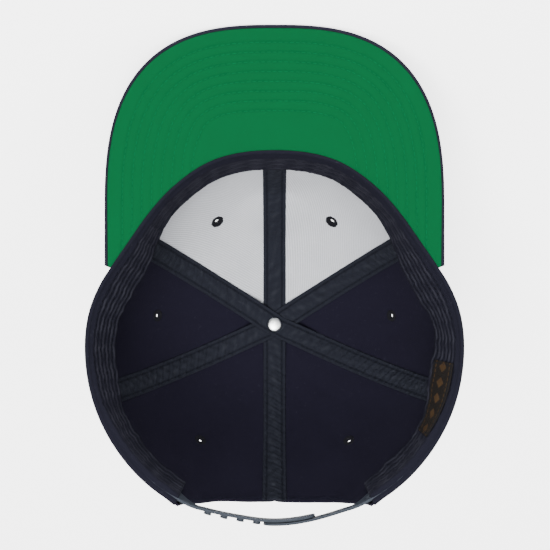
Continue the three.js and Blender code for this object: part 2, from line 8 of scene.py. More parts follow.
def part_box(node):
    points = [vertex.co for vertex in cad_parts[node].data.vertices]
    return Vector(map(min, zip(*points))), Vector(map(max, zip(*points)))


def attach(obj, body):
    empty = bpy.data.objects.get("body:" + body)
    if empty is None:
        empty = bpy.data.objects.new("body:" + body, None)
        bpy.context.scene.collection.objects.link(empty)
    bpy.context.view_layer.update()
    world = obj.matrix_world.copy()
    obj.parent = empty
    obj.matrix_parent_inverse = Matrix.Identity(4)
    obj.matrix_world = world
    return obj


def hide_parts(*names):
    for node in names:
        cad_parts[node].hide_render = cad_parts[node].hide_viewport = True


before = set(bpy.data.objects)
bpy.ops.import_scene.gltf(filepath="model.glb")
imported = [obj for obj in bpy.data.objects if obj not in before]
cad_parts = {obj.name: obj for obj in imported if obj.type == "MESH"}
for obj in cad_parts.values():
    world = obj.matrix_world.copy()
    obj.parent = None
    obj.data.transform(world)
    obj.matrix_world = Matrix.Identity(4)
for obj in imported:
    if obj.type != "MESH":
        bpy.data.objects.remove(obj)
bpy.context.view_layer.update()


# How the cap lies
# The cap lies upside down, on the front of its crown and the tip of its visor. Its own frame starts
# where the six panels meet, with +Y towards the visor and +Z towards the rim.
MM = 0.001
cap_tilt = math.radians(44.19)
button_radius = 8 * MM
button_height = 6 * MM
button_gap = 0.3 * MM
button_rows = [(0, 0), (0.92, 0), (1, 0.22), (0.93, 0.55), (0.64, 0.88), (0, 1)]

cap_turn = np.array(Matrix.Rotation(-cap_tilt, 3, "X"))
spans = []
for reach, drop in button_rows:
    for side in (-1, 1):
        corner = np.array([0, side * reach * button_radius, -button_gap - drop * button_height])
        spans.append(cap_turn @ corner)
button_low, button_high = (np.array(corner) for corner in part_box("button"))
cap_origin = (button_low + button_high) / 2 - (np.min(spans, axis=0) + np.max(spans, axis=0)) / 2
cap_origin[0] = 0
table_up = cap_turn.T @ np.array([0, 0, 1])
table_level = -cap_origin[2]


def to_world(points):
    return np.asarray(points) @ cap_turn.T + cap_origin


# Camera
# It looks straight into the cap along the cap's own axis, with the visor at the top of the picture,
# from far enough away that the crown's centre narrows as it does in the photograph.
rim_height = 118 * MM
camera_distance = 900 * MM
picture_width = 286.6 * MM
picture_middle = np.array([0.26 * MM, 29.1 * MM, rim_height])

camera_data = bpy.data.cameras.new("camera")
camera_data.sensor_width = 36
camera_data.lens = camera_data.sensor_width * camera_distance / picture_width
camera_data.clip_start = 0.05
camera = bpy.data.objects.new("camera", camera_data)
bpy.context.collection.objects.link(camera)
camera_place = Matrix.Translation(Vector(to_world(picture_middle + [0, 0, camera_distance])))
camera.matrix_world = camera_place @ Matrix.Rotation(-cap_tilt, 4, "X")
bpy.context.scene.camera = camera


# Crown form
# The crown is one surface: an outline at the hem, a boxy section that is squarer in front, and a
# flat patch where the cloth is pressed against the table. Every layer of cloth lies on it.
crown_half_width = 98.7 * MM
crown_height = 118 * MM
relief_depth = 0.30 * MM
arch_flare = 3.4 * MM
hem_outline = [
    (0, 0.950), (20, 0.954), (35, 0.928), (48, 0.905), (58, 0.900), (67, 0.918), (75, 0.950),
    (85, 0.984), (97, 1.006), (120, 1.036), (148, 1.052), (160, 1.030), (180, 1.036),
]
section_squareness = [(0, 2.7), (90, 2.35), (180, 2.1)]


def curve_through(rows, direction):
    table = np.array(rows, dtype=float)
    x, y = table[:, 0], table[:, 1]
    slopes = np.zeros(len(x))
    slopes[1:-1] = (y[2:] - y[:-2]) / (x[2:] - x[:-2])
    at = np.clip(np.abs(direction), x[0], x[-1])
    k = np.clip(np.searchsorted(x, at) - 1, 0, len(x) - 2)
    run = x[k + 1] - x[k]
    s = (at - x[k]) / run
    rise = y[k] + (y[k + 1] - y[k]) * s * s * (3 - 2 * s)
    return rise + slopes[k] * s * (1 - s) ** 2 * run + slopes[k + 1] * s * s * (s - 1) * run


def wrapped(direction):
    return np.abs((np.asarray(direction, dtype=float) + 180) % 360 - 180)


def smooth(value, low, high):
    s = np.clip((np.asarray(value, dtype=float) - low) / (high - low), 0, 1)
    return s * s * (3 - 2 * s)


def hem_reach(direction):
    return crown_half_width * curve_through(hem_outline, wrapped(direction))


direction_steps = 360
share_steps = 400
form_reach = np.zeros((direction_steps + 1, share_steps + 1))
form_height = np.zeros_like(form_reach)
form_length = np.zeros(direction_steps + 1)
quarter_turn = np.linspace(0, math.pi / 2, 500)
shares = np.linspace(0, 1, share_steps + 1)
for row, direction in enumerate(np.linspace(0, 180, direction_steps + 1)):
    power = 2 / curve_through(section_squareness, direction)
    reaches = hem_reach(direction) * np.sin(quarter_turn) ** power
    heights = crown_height * (1 - np.cos(quarter_turn).clip(0) ** power)
    runs = np.concatenate([[0], np.cumsum(np.hypot(np.diff(reaches), np.diff(heights)))])
    form_length[row] = runs[-1]
    form_reach[row] = np.interp(shares * runs[-1], runs, reaches)
    form_height[row] = np.interp(shares * runs[-1], runs, heights)


def read_form(table, direction, share):
    a = wrapped(direction) * direction_steps / 180
    b = np.clip(share, 0, 1) * share_steps
    a, b = np.broadcast_arrays(a, b)
    i = np.minimum(a.astype(int), direction_steps - 1)
    j = np.minimum(b.astype(int), share_steps - 1)
    u, v = a - i, b - j
    near = table[i, j] * (1 - v) + table[i, j + 1] * v
    far = table[i + 1, j] * (1 - v) + table[i + 1, j + 1] * v
    return near * (1 - u) + far * u


def length_at(direction):
    return np.interp(wrapped(direction), np.linspace(0, 180, direction_steps + 1), form_length)


def form_point(direction, share):
    reach = read_form(form_reach, direction, share)
    height = read_form(form_height, direction, share)
    angle = np.radians(direction)
    return np.stack(np.broadcast_arrays(reach * np.sin(angle), reach * np.cos(angle), height), -1)


def unit(vectors):
    return vectors / np.linalg.norm(vectors, axis=-1, keepdims=True)


def inward_normal(direction, share):
    at = np.clip(share, 0.03, 0.985)
    along = form_point(direction, at + 0.012) - form_point(direction, at - 0.012)
    across = form_point(direction + 1.0, at) - form_point(direction - 1.0, at)
    return unit(np.cross(across, along))


def cloth_relief(direction, share):
    angle = np.radians(direction)
    soft = smooth(wrapped(direction), 52, 75) * smooth(share, 0.12, 0.3) * (1 - smooth(share, 0.9, 1))
    waves = np.sin(4 * angle + 8 * share + 0.4) + 0.8 * np.sin(9 * angle - 13 * share + 1.3)
    waves += 0.5 * np.sin(19 * angle + 21 * share + 2.1)
    flared = smooth(wrapped(direction), 146, 158) * smooth(share, 0.5, 0.72)
    return relief_depth * soft * waves - arch_flare * flared


def crown_point(direction, share, depth):
    direction, share = np.asarray(direction, dtype=float), np.asarray(share, dtype=float)
    face = form_point(direction, share)
    lift = np.maximum(0, table_level - face @ table_up)
    inside = (depth + cloth_relief(direction, share))[..., None]
    return face + inward_normal(direction, share) * inside + lift[..., None] * table_up


# Cloth and thread finishes
# Twill and tape weave, woven in metres in the cloth's own length and width, with lint and uneven
# dye. A mesh's crease marks paint light onto its cloth: a painted highlight above zero and painted
# shade below.
painted_highlight_share = 0.42
painted_shade_share = 0.75


def new_group(name, inputs, outputs):
    group = bpy.data.node_groups.new(name, "ShaderNodeTree")
    for label, kind, value in inputs:
        socket = group.interface.new_socket(label, in_out="INPUT", socket_type=kind)
        if value is not None:
            socket.default_value = value
    for label, kind in outputs:
        group.interface.new_socket(label, in_out="OUTPUT", socket_type=kind)
    return group, group.nodes.new("NodeGroupInput"), group.nodes.new("NodeGroupOutput")


def feed(tree, socket, value):
    if isinstance(value, tuple):
        socket.default_value = (*value, 1)
    elif isinstance(value, (int, float)):
        socket.default_value = value
    elif value is not None:
        tree.links.new(value, socket)


def math_node(tree, operation, first, second=None):
    node = tree.nodes.new("ShaderNodeMath")
    node.operation = operation
    feed(tree, node.inputs[0], first)
    feed(tree, node.inputs[1], second)
    return node.outputs[0]


def noise_node(tree, vector, scale, detail=3.0, roughness=0.55):
    node = tree.nodes.new("ShaderNodeTexNoise")
    feed(tree, node.inputs["Scale"], scale)
    node.inputs["Detail"].default_value = detail
    node.inputs["Roughness"].default_value = roughness
    tree.links.new(vector, node.inputs["Vector"])
    return node.outputs["Fac"]


def build_weave():
    group, given, result = new_group(
        "weave",
        [
            ("Cloth", "NodeSocketVector", None),
            ("Threads per metre", "NodeSocketFloat", 1400.0),
            ("Diagonal", "NodeSocketFloat", 1.0),
        ],
        [("Height", "NodeSocketFloat"), ("Tone", "NodeSocketFloat")],
    )
    split = group.nodes.new("ShaderNodeSeparateXYZ")
    group.links.new(given.outputs["Cloth"], split.inputs[0])
    turns = math_node(group, "MULTIPLY", given.outputs["Threads per metre"], 2 * math.pi)
    across = math_node(group, "MULTIPLY", split.outputs[0], turns)
    along = math_node(group, "MULTIPLY", split.outputs[1], turns)
    slanted = math_node(group, "MULTIPLY", along, given.outputs["Diagonal"])
    ridge = math_node(group, "SINE", math_node(group, "ADD", across, slanted))
    steep = math_node(group, "MULTIPLY", along, 2.0)
    cross = math_node(group, "SINE", math_node(group, "SUBTRACT", steep, across))
    ridge_part = math_node(group, "MULTIPLY", ridge, 0.65)
    both = math_node(group, "ADD", ridge_part, math_node(group, "MULTIPLY", cross, 0.35))
    uneven = noise_node(group, given.outputs["Cloth"], 900.0, 2.0)
    height = math_node(group, "ADD", both, math_node(group, "MULTIPLY", uneven, 0.8))
    group.links.new(height, result.inputs["Height"])
    tone = math_node(group, "ADD", math_node(group, "MULTIPLY", height, 0.25), 0.4)
    group.links.new(tone, result.inputs["Tone"])
    return group


def build_mottle():
    group, given, result = new_group(
        "mottle",
        [("Place", "NodeSocketVector", None), ("Blotch size", "NodeSocketFloat", 30.0)],
        [("Blotch", "NodeSocketFloat"), ("Lint", "NodeSocketFloat")],
    )
    blotch = noise_node(group, given.outputs["Place"], given.outputs["Blotch size"], 4.0, 0.6)
    group.links.new(blotch, result.inputs["Blotch"])
    fleck = noise_node(group, given.outputs["Place"], 420.0, 5.0, 0.75)
    sharp = math_node(group, "SUBTRACT", fleck, 0.60)
    lint = math_node(group, "MULTIPLY", math_node(group, "MAXIMUM", sharp, 0.0), 5.0)
    group.links.new(lint, result.inputs["Lint"])
    return group


def mix_colour(tree, factor, first, second):
    node = tree.nodes.new("ShaderNodeMix")
    node.data_type = "RGBA"
    feed(tree, node.inputs["Factor"], factor)
    feed(tree, node.inputs[6], first)
    feed(tree, node.inputs[7], second)
    return node.outputs[2]


# The crease group paints light and shade into a cloth colour. Where the marks are above zero it mixes in the
# pale lint colour as a painted highlight, and where they are below it mixes in a darkened colour as painted
# shade.
def build_crease():
    group, given, result = new_group(
        "crease",
        [(label, "NodeSocketColor", None) for label in ("Worn", "Rubbed", "Shadow")],
        [("Colour", "NodeSocketColor")],
    )
    marks = group.nodes.new("ShaderNodeAttribute")
    marks.attribute_name = "crease"
    above = math_node(group, "MAXIMUM", marks.outputs["Fac"], 0.0)
    below = math_node(group, "MINIMUM", marks.outputs["Fac"], 0.0)
    pale = math_node(group, "MULTIPLY", above, painted_highlight_share)
    dark = math_node(group, "MULTIPLY", below, -painted_shade_share)
    highlighted = mix_colour(group, pale, given.outputs["Worn"], given.outputs["Rubbed"])
    shaded = mix_colour(group, dark, highlighted, given.outputs["Shadow"])
    group.links.new(shaded, result.inputs["Colour"])
    return group


weave_group = build_weave()
mottle_group = build_mottle()
crease_group = build_crease()


def group_node(tree, group, **values):
    node = tree.nodes.new("ShaderNodeGroup")
    node.node_tree = group
    for label, value in values.items():
        feed(tree, node.inputs[label.replace("_", " ")], value)
    return node


def new_material(name, roughness, metallic=0.0, specular=0.5):
    material = bpy.data.materials.new(name)
    material.use_nodes = True
    tree = material.node_tree
    shader = tree.nodes["Principled BSDF"]
    shader.inputs["Roughness"].default_value = roughness
    shader.inputs["Metallic"].default_value = metallic
    shader.inputs["Specular IOR Level"].default_value = specular
    place = tree.nodes.new("ShaderNodeTexCoord").outputs["Object"]
    cloth = tree.nodes.new("ShaderNodeUVMap")
    cloth.uv_map = "cloth"
    return material, tree, shader, place, cloth.outputs[0]


def bump(tree, shader, height, distance, strength=1.0):
    node = tree.nodes.new("ShaderNodeBump")
    node.inputs["Strength"].default_value = strength
    node.inputs["Distance"].default_value = distance
    tree.links.new(height, node.inputs["Height"])
    tree.links.new(node.outputs[0], shader.inputs["Normal"])


def cloth_material(name, deep, light, lint, threads=1400.0, diagonal=1.0, lint_share=0.35):
    material, tree, shader, place, cloth = new_material(name, 0.95, specular=0.08)
    weave = group_node(tree, weave_group, Cloth=cloth, Threads_per_metre=threads, Diagonal=diagonal)
    mottle = group_node(tree, mottle_group, Place=place, Blotch_size=34.0)
    woven = mix_colour(tree, weave.outputs["Tone"], deep, light)
    dyed = mix_colour(tree, math_node(tree, "MULTIPLY", mottle.outputs["Blotch"], 0.45), woven, light)
    fluffed = math_node(tree, "MULTIPLY", mottle.outputs["Lint"], lint_share)
    worn = mix_colour(tree, fluffed, dyed, lint)
    # The lint colour also serves as the painted highlight colour of the crease marks, and this darkened
    # colour as their painted shade.
    shadow = tuple(value * 0.3 for value in deep)
    creased = group_node(tree, crease_group, Worn=worn, Rubbed=lint, Shadow=shadow)
    tree.links.new(creased.outputs["Colour"], shader.inputs["Base Color"])
    bump(tree, shader, weave.outputs["Height"], 0.00012, 0.7)
    return material


crown_cloth = cloth_material(
    "crown_cloth", (0.0056, 0.0050, 0.0112), (0.0112, 0.0100, 0.0200), (0.045, 0.045, 0.065),
)
seam_tape_cloth = cloth_material(
    "seam_tape_cloth", (0.0075, 0.0083, 0.0130), (0.0165, 0.0182, 0.0258), (0.08, 0.086, 0.10),
    threads=1100.0, diagonal=0.6,
)
band_cloth = cloth_material(
    "band_cloth", (0.0036, 0.0036, 0.0072), (0.0078, 0.0078, 0.0138), (0.05, 0.05, 0.065),
)
lining_cloth = cloth_material(
    "lining_cloth", (0.18, 0.19, 0.22), (0.71, 0.72, 0.75), (0.80, 0.80, 0.82),
    threads=650.0, diagonal=0.55, lint_share=0.5,
)
navy_thread = cloth_material(
    "navy_thread", (0.0060, 0.0068, 0.0130), (0.0120, 0.0135, 0.0225), (0.04, 0.04, 0.05),
)


# Crown panels
# Six panels of navy twill, each one sheet of cloth with its edges turned in at the seams and at the
# hem. The two back panels are cut away in an arch over the strap.
cloth_thickness = 1.2 * MM
seam_half_gap = 0.12 * MM
seam_sink = 0.7 * MM
seam_roll = 1.6 * MM
hem_fold_front = 2.2 * MM
hem_fold_back = 1.3 * MM
centre_hole = 3 * MM
arch_half_width = 50 * MM
arch_height = 50 * MM
arch_corner = 151.0
front_seam = (0.0, 0.0)
front_side_seam = (57.5, 57.0)
back_side_seam = (116.0, 110.0)
back_seam = (180.0, 180.0)


def seam_direction(seam, share):
    return seam[0] + (seam[1] - seam[0]) * np.asarray(share)


def hem_fold_at(direction):
    return hem_fold_front + (hem_fold_back - hem_fold_front) * smooth(wrapped(direction), 96, 112)


def grid_faces(columns, rows, start=0, around=False, looped=False):
    ids = start + np.arange(columns * rows).reshape(columns, rows)
    if looped:
        ids = np.concatenate([ids, ids[:1]])
    if around:
        ids = np.concatenate([ids, ids[:, :1]], axis=1)
    quads = np.stack([ids[:-1, :-1], ids[1:, :-1], ids[1:, 1:], ids[:-1, 1:]], -1)
    return quads.reshape(-1, 4).tolist()


def edge_loop(columns, rows):
    ids = np.arange(columns * rows).reshape(columns, rows)
    return np.concatenate([ids[:-1, 0], ids[-1, :-1], ids[:0:-1, -1], ids[0, :0:-1]])


def closed_sheet(outer, inner, cloth, bulge):
    columns, rows = outer.shape[:2]
    count = columns * rows
    loop = edge_loop(columns, rows)
    pulled = outer[1:-1, 1:-1]
    neighbour = np.pad(pulled, ((1, 1), (1, 1), (0, 0)), mode="edge").reshape(-1, 3)
    flat_outer, flat_inner = outer.reshape(-1, 3), inner.reshape(-1, 3)
    push = unit(flat_outer[loop] - neighbour[loop]) * bulge
    middle = (flat_outer[loop] + flat_inner[loop]) / 2 + push
    points = np.concatenate([flat_outer, flat_inner, middle])
    flat_cloth = cloth.reshape(-1, 2)
    uv = np.concatenate([flat_cloth, flat_cloth, flat_cloth[loop]])
    faces = grid_faces(columns, rows) + grid_faces(columns, rows, count)
    following = np.roll(loop, -1)
    rim = np.arange(len(loop)) + 2 * count
    rim_following = np.roll(rim, -1)
    faces += np.stack([loop, following, rim_following, rim], -1).tolist()
    faces += np.stack([rim, rim_following, following + count, loop + count], -1).tolist()
    return points, faces, uv


def sheet_marks(marks):
    flat = marks.ravel()
    return np.concatenate([0 * flat, flat, flat[edge_loop(*marks.shape)]])


def new_piece(name, points, faces, uv, material, smooth_angle=None, crease=None):
    mesh = bpy.data.meshes.new(name)
    mesh.from_pydata(to_world(points).tolist(), [], faces)
    layer = mesh.uv_layers.new(name="cloth")
    corners = np.zeros(len(mesh.loops), dtype=np.int32)
    mesh.loops.foreach_get("vertex_index", corners)
    layer.data.foreach_set("uv", np.asarray(uv, dtype=np.float32)[corners].ravel())
    shaped = bmesh.new()
    shaped.from_mesh(mesh)
    bmesh.ops.recalc_face_normals(shaped, faces=shaped.faces)
    if shaped.calc_volume(signed=True) < 0:
        bmesh.ops.reverse_faces(shaped, faces=shaped.faces)
    shaped.to_mesh(mesh)
    shaped.free()
    mesh.polygons.foreach_set("use_smooth", [True] * len(mesh.polygons))
    if smooth_angle is not None:
        mesh.set_sharp_from_angle(angle=math.radians(smooth_angle))
    mesh.materials.append(material)
    if crease is not None:
        marks = mesh.attributes.new("crease", "FLOAT", "POINT")
        marks.data.foreach_set("value", np.asarray(crease, dtype=np.float32))
    piece = bpy.data.objects.new(name, mesh)
    bpy.context.collection.objects.link(piece)
    return piece


def declare(piece, slot, *nodes):
    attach(piece, "root")
    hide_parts(*nodes)


def arch_end(direction):
    tested = np.linspace(0.5, 1, 400)
    points = form_point(np.asarray(direction)[:, None], tested[None, :])
    across = points[..., 0] / arch_half_width
    down = (crown_height - points[..., 2]) / arch_height
    outside = (across ** 2 + down ** 2 >= 1) | (points[..., 1] > 0)
    return tested[np.maximum(np.sum(np.cumprod(outside, axis=1), axis=1) - 1, 0)]


def spaced_ends(count, crowding=0.6):
    even = np.linspace(0, 1, count)
    return (1 - crowding) * even + crowding * (1 - np.cos(math.pi * even)) / 2


def panel_grid(side, first, second, arch):
    if arch:
        tab = (arch_corner - first[1]) / (second[1] - first[1])
        across = np.concatenate([
            tab * spaced_ends(34, 0.5)[:-1],
            np.linspace(tab, tab + 0.035, 12)[:-1],
            tab + 0.035 + (0.965 - tab) * spaced_ends(26, 0.4),
        ])
    else:
        across = spaced_ends(60)
    at_hem = first[1] + (second[1] - first[1]) * across
    turned_in = hem_fold_at(at_hem)
    ends = arch_end(at_hem) if arch else np.ones(len(across))
    ends = ends - turned_in / length_at(at_hem)
    start = centre_hole / length_at(at_hem)
    down = np.linspace(0, 1, 84)[None, :]
    share = start[:, None] + (ends - start)[:, None] * down
    low, high = seam_direction(first, share), seam_direction(second, share)
    direction = low + (high - low) * across[:, None]
    reach = np.maximum(read_form(form_reach, direction, share), 0.5 * MM)
    gap = np.degrees(seam_half_gap / reach)
    direction = np.clip(direction, low + gap, high - gap)
    to_seam = np.minimum(direction - low, high - direction)
    return side * direction, share, np.radians(to_seam) * reach, reach


def panel_piece(name, side, first, second, arch, material):
    direction, share, to_seam, reach = panel_grid(side, first, second, arch)
    rolled = seam_sink * np.exp(-(to_seam / seam_roll) ** 2) * (1 - smooth(share, 0.93, 0.98))
    outer = crown_point(direction, share, rolled)
    inner = crown_point(direction, share, cloth_thickness)
    middle = side * (first[1] + second[1]) / 2
    cloth = np.stack([np.radians(direction - middle) * reach, share * length_at(direction)], -1)
    return new_piece(name, *closed_sheet(outer, inner, cloth, 0.45 * cloth_thickness), material)


panel_seams = {
    "front": (front_seam, front_side_seam, False),
    "side": (front_side_seam, back_side_seam, False),
    "back": (back_side_seam, back_seam, True),
}
sides = {"left": -1, "right": 1}
crown_panels = {}
for panel_name, (first, second, arch) in panel_seams.items():
    for side_name, side in sides.items():
        node = f"panel_{panel_name}_{side_name}"
        piece = panel_piece(f"cloth_{node}", side, first, second, arch, crown_cloth)
        declare(piece, "crown_cloth", node)
        crown_panels[panel_name, side_name] = piece


# Front lining
# A light grey stiffened cloth backs each of the two front panels. Its edges lie under the tapes, and
# its fine knit runs down the panel at a slant.
lining_depth = 1.32 * MM
lining_thickness = 0.6 * MM
lining_inset = 1.2 * MM
lining_start = 9 * MM
lining_end = 0.90

lining_pieces = {}
for side_name, side in sides.items():
    across = np.linspace(0, 1, 40)[:, None]
    share = np.linspace(lining_start / length_at(30.0), lining_end, 64)[None, :] + 0 * across
    low, high = seam_direction(front_seam, share), seam_direction(front_side_seam, share)
    reach = read_form(form_reach, 30 + 0 * share, share)
    inset = np.degrees(lining_inset / reach)
    direction = side * (low + inset + (high - low - 2 * inset) * across)
    outer = crown_point(direction, share, lining_depth)
    inner = crown_point(direction, share, lining_depth + lining_thickness)
    cloth = np.stack([np.radians(direction - side * 31) * reach, share * length_at(direction)], -1)
    sheet = closed_sheet(outer, inner, cloth, 0.4 * lining_thickness)
    piece = new_piece(f"backing_front_{side_name}", *sheet, lining_cloth)
    declare(piece, "front_lining", f"lining_front_{side_name}")
    lining_pieces[side_name] = piece


# Seam tapes
# Three strips of folded tape run from hem to hem over the centre, one on another, and cover the raw
# seams. Each is sewn down by two rows of stitches, and it puckers a little between them.
tape_width = 12.7 * MM
tape_thickness = 0.8 * MM
tape_step = 1.1 * MM
tape_lift = 0.12 * MM
tape_stitch_line = 4.4 * MM
tape_ridge = 0.65 * MM
tape_tuck = 0.86
arch_top = 0.705
tape_arms = {
    "front": (front_seam, 1, tape_tuck, 0.22),
    "back": (back_seam, 1, arch_top, 0.26),
    "front_left": (front_side_seam, -1, tape_tuck, 0.30),
    "front_right": (front_side_seam, 1, tape_tuck, 0.32),
    "back_left": (back_side_seam, -1, tape_tuck, 0.34),
    "back_right": (back_side_seam, 1, tape_tuck, 0.55),
}
tape_runs = {
    "tape_centre": ("front", "back"),
    "tape_lower_diagonal": ("front_right", "back_left"),
    "tape_upper_diagonal": ("front_left", "back_right"),
}


def cloth_depth(direction, share):
    edge = seam_direction(front_side_seam, share)
    lined = 1 - smooth(wrapped(direction), edge - 1.5, edge + 1.5)
    lined = lined * smooth(share, 0.04, 0.07)
    return cloth_thickness + lined * (lining_depth + lining_thickness - cloth_thickness)


def tape_station_grid(level, arms, aside):
    directions, shares_along, turns, pucker, travelled = [], [], [], [], []
    for place, arm in enumerate(arms):
        seam, side, end, puckering = tape_arms[arm]
        other_seam, other_side = tape_arms[arms[1 - place]][:2]
        opposite = other_side * other_seam[0] + 180
        straight = (side * seam[0] + ((opposite - side * seam[0] + 180) % 360 - 180) / 2)
        run = np.linspace(0.0015, end, 190)
        if place == 0:
            run = run[::-1]
        own = side * seam_direction(seam, run)
        reach = read_form(form_reach, own, run)
        bent = (straight - side * seam[0]) * (1 - smooth(reach, 0, 14 * MM))
        directions.append(own + bent)
        shares_along.append(run)
        turns.append(np.full(len(run), 1 if place == 0 else -1))
        pucker.append(np.full(len(run), puckering))
        travelled.append((-1 if place == 0 else 1) * run * length_at(own))
    own, run = np.concatenate(directions)[:, None], np.concatenate(shares_along)[:, None]
    turn, puckering = np.concatenate(turns)[:, None], np.concatenate(pucker)[:, None]
    travel = np.concatenate(travelled)[:, None] + 0 * aside[None, :]
    reach = read_form(form_reach, own, run)
    offset = turn * aside[None, :]
    direction = own + np.degrees(np.arctan2(offset, reach))
    flat = 1 - smooth(reach, 0.3 * crown_half_width, 0.7 * crown_half_width)
    share = run + (np.hypot(reach, offset) - reach) * flat / length_at(own)
    centre = 1 - smooth(reach, 1.15 * tape_width, 2.3 * tape_width)
    seat = cloth_depth(direction, share) * (1 - centre) + (cloth_thickness + 0.8 * MM) * centre
    seat = seat + tape_lift + level * tape_step * centre
    return direction, share, seat, centre, puckering, travel, offset


def tape_puckers(travel, offset, amount, centre):
    wave = np.sin(travel * 1350 + offset * 700) * 0.5 + np.sin(travel * 820 - offset * 900 + 1.7) * 0.6
    wave += 0.5 * np.sin(travel * 2300 + offset * 1500 + 0.6)
    return MM * amount * wave * (1 - 0.5 * centre)


def tape_profile(offset):
    spread = offset / tape_width * 2
    ridge = tape_ridge * np.exp(-(spread / 0.42) ** 2)
    groove = 0.42 * MM * np.exp(-((np.abs(offset) - tape_stitch_line) / (0.5 * MM)) ** 2)
    return ridge - groove


def tape_face(level, arms, aside, extra):
    direction, share, seat, centre, amount, travel, offset = tape_station_grid(level, arms, aside)
    raised = tape_profile(offset) + np.maximum(tape_puckers(travel, offset, amount, centre), -0.3 * MM)
    depth = seat + (tape_thickness + raised if extra else 0)
    return crown_point(direction, share, depth), travel, offset


tape_columns = np.linspace(-0.5, 0.5, 37) * tape_width
for level, (node, arms) in enumerate(tape_runs.items()):
    outer, travel, offset = tape_face(level, arms, tape_columns, False)
    inner, travel, offset = tape_face(level, arms, tape_columns, True)
    cloth = np.stack([offset, travel], -1)
    sheet = closed_sheet(outer, inner, cloth, 0.35 * tape_thickness)
    # The tapes' crease marks are painted light: a faint painted highlight on the puckers near the middle, and
    # a line of painted shade along each row of stitches.
    line = np.abs(np.abs(offset) - tape_stitch_line)
    puckered = np.sin(travel * 410 + offset * 900) * np.sin(travel * 173 - offset * 300 + 1.7)
    puckered += 0.6 * np.sin(travel * 1130 + 9 * np.sin(travel * 61) + offset * 500)
    spread = np.exp(-(offset / (0.3 * tape_width)) ** 2)
    marks = 0.16 * puckered * spread - 0.8 * np.exp(-(line / (0.45 * MM)) ** 2)
    piece = new_piece(f"woven_{node}", *sheet, seam_tape_cloth, crease=sheet_marks(marks))
    declare(piece, "seam_tape", node)


# Seam stitching
# Both rows of each tape go through to the outside, where they show beside the seams. Threads are
# laid as short raised loops with a small gap between them.
stitch_length = 2.6 * MM
stitch_gap = 0.7 * MM
thread_radius = 0.19 * MM
thread_sides = 5
outside_stitch_depth = -0.02 * MM
stitch_bow = np.array([-0.2, 0.55, 0.55, -0.2])
stitch_swell = np.array([0.55, 1.0, 1.0, 0.55])


def along_path(points, values, at):
    run = np.concatenate([[0], np.cumsum(np.linalg.norm(np.diff(points, axis=0), axis=1))])
    return np.stack([np.interp(at, run, values[:, k]) for k in range(3)], -1)


def stitch_row(points, normals, length=stitch_length, gap=stitch_gap, radius=thread_radius):
    total = np.sum(np.linalg.norm(np.diff(points, axis=0), axis=1))
    count = max(1, int(total / (length + gap)))
    starts = (np.arange(count) + 0.5) * total / count - length / 2
    stations = np.linspace(0, 1, len(stitch_bow))
    at = starts[:, None] + length * stations[None, :]
    middle = along_path(points, points, at.ravel()).reshape(count, -1, 3)
    normal = unit(along_path(points, normals, at.ravel())).reshape(count, -1, 3)
    tangent = unit(middle[:, -1:] - middle[:, :1]) + 0 * middle
    side = unit(np.cross(tangent, normal))
    middle = middle + normal * (radius * stitch_bow)[None, :, None]
    turn = np.arange(thread_sides) / thread_sides * 2 * math.pi
    swell = (radius * stitch_swell)[None, :, None, None]
    ring = side[:, :, None] * np.cos(turn)[:, None] + normal[:, :, None] * np.sin(turn)[:, None]
    verts = (middle[:, :, None] + ring * swell).reshape(-1, 3)
    stride = len(stitch_bow) * thread_sides
    one = []
    for k in range(len(stitch_bow) - 1):
        for m in range(thread_sides):
            a, b = k * thread_sides + m, k * thread_sides + (m + 1) % thread_sides
            one.append([a, b, b + thread_sides, a + thread_sides])
    caps = [list(range(thread_sides))[::-1], list(range(stride - thread_sides, stride))]
    starts_at = np.arange(count)[:, None, None] * stride
    faces = (np.array(one)[None] + starts_at).reshape(-1, 4).tolist()
    faces += (np.array(caps)[None] + starts_at).reshape(-1, thread_sides).tolist()
    return verts, faces


def joined(parts):
    verts, faces, total = [], [], 0
    for points, part_faces in parts:
        verts.append(points)
        faces += [[corner + total for corner in face] for face in part_faces]
        total += len(points)
    return np.concatenate(verts), faces


def thread_piece(name, rows, material, slot, node):
    points, faces = joined(rows)
    declare(new_piece(name, points, faces, points[:, :2], material), slot, node)


for level, (node, arms) in enumerate(tape_runs.items()):
    rows = []
    for aside in (-tape_stitch_line, tape_stitch_line):
        points, travel, offset = tape_face(level, arms, np.array([aside]), True)
        inward = inward_normal(*tape_station_grid(level, arms, np.array([aside]))[:2])
        rows.append(stitch_row(points[:, 0], inward[:, 0]))
    thread_piece(f"stitches_{node}", rows, navy_thread, "seam_tape", node)

outside_rows = {name: [] for name in ("front", "side", "back")}
seam_owners = [
    ("front", front_seam, 1, 0.985),
    ("side", front_side_seam, 1, 0.985),
    ("side", front_side_seam, -1, 0.985),
    ("back", back_side_seam, 1, 0.985),
    ("back", back_side_seam, -1, 0.985),
    ("back", back_seam, 1, arch_top - 0.015),
]
for owner, seam, side, end in seam_owners:
    share = np.linspace(0.055, end, 200)
    own = side * seam_direction(seam, share)
    reach = read_form(form_reach, own, share)
    for aside in (-tape_stitch_line, tape_stitch_line):
        direction = own + np.degrees(np.arctan2(aside, reach))
        points = crown_point(direction, share, outside_stitch_depth)
        outside_rows[owner].append(stitch_row(points, -inward_normal(direction, share)))


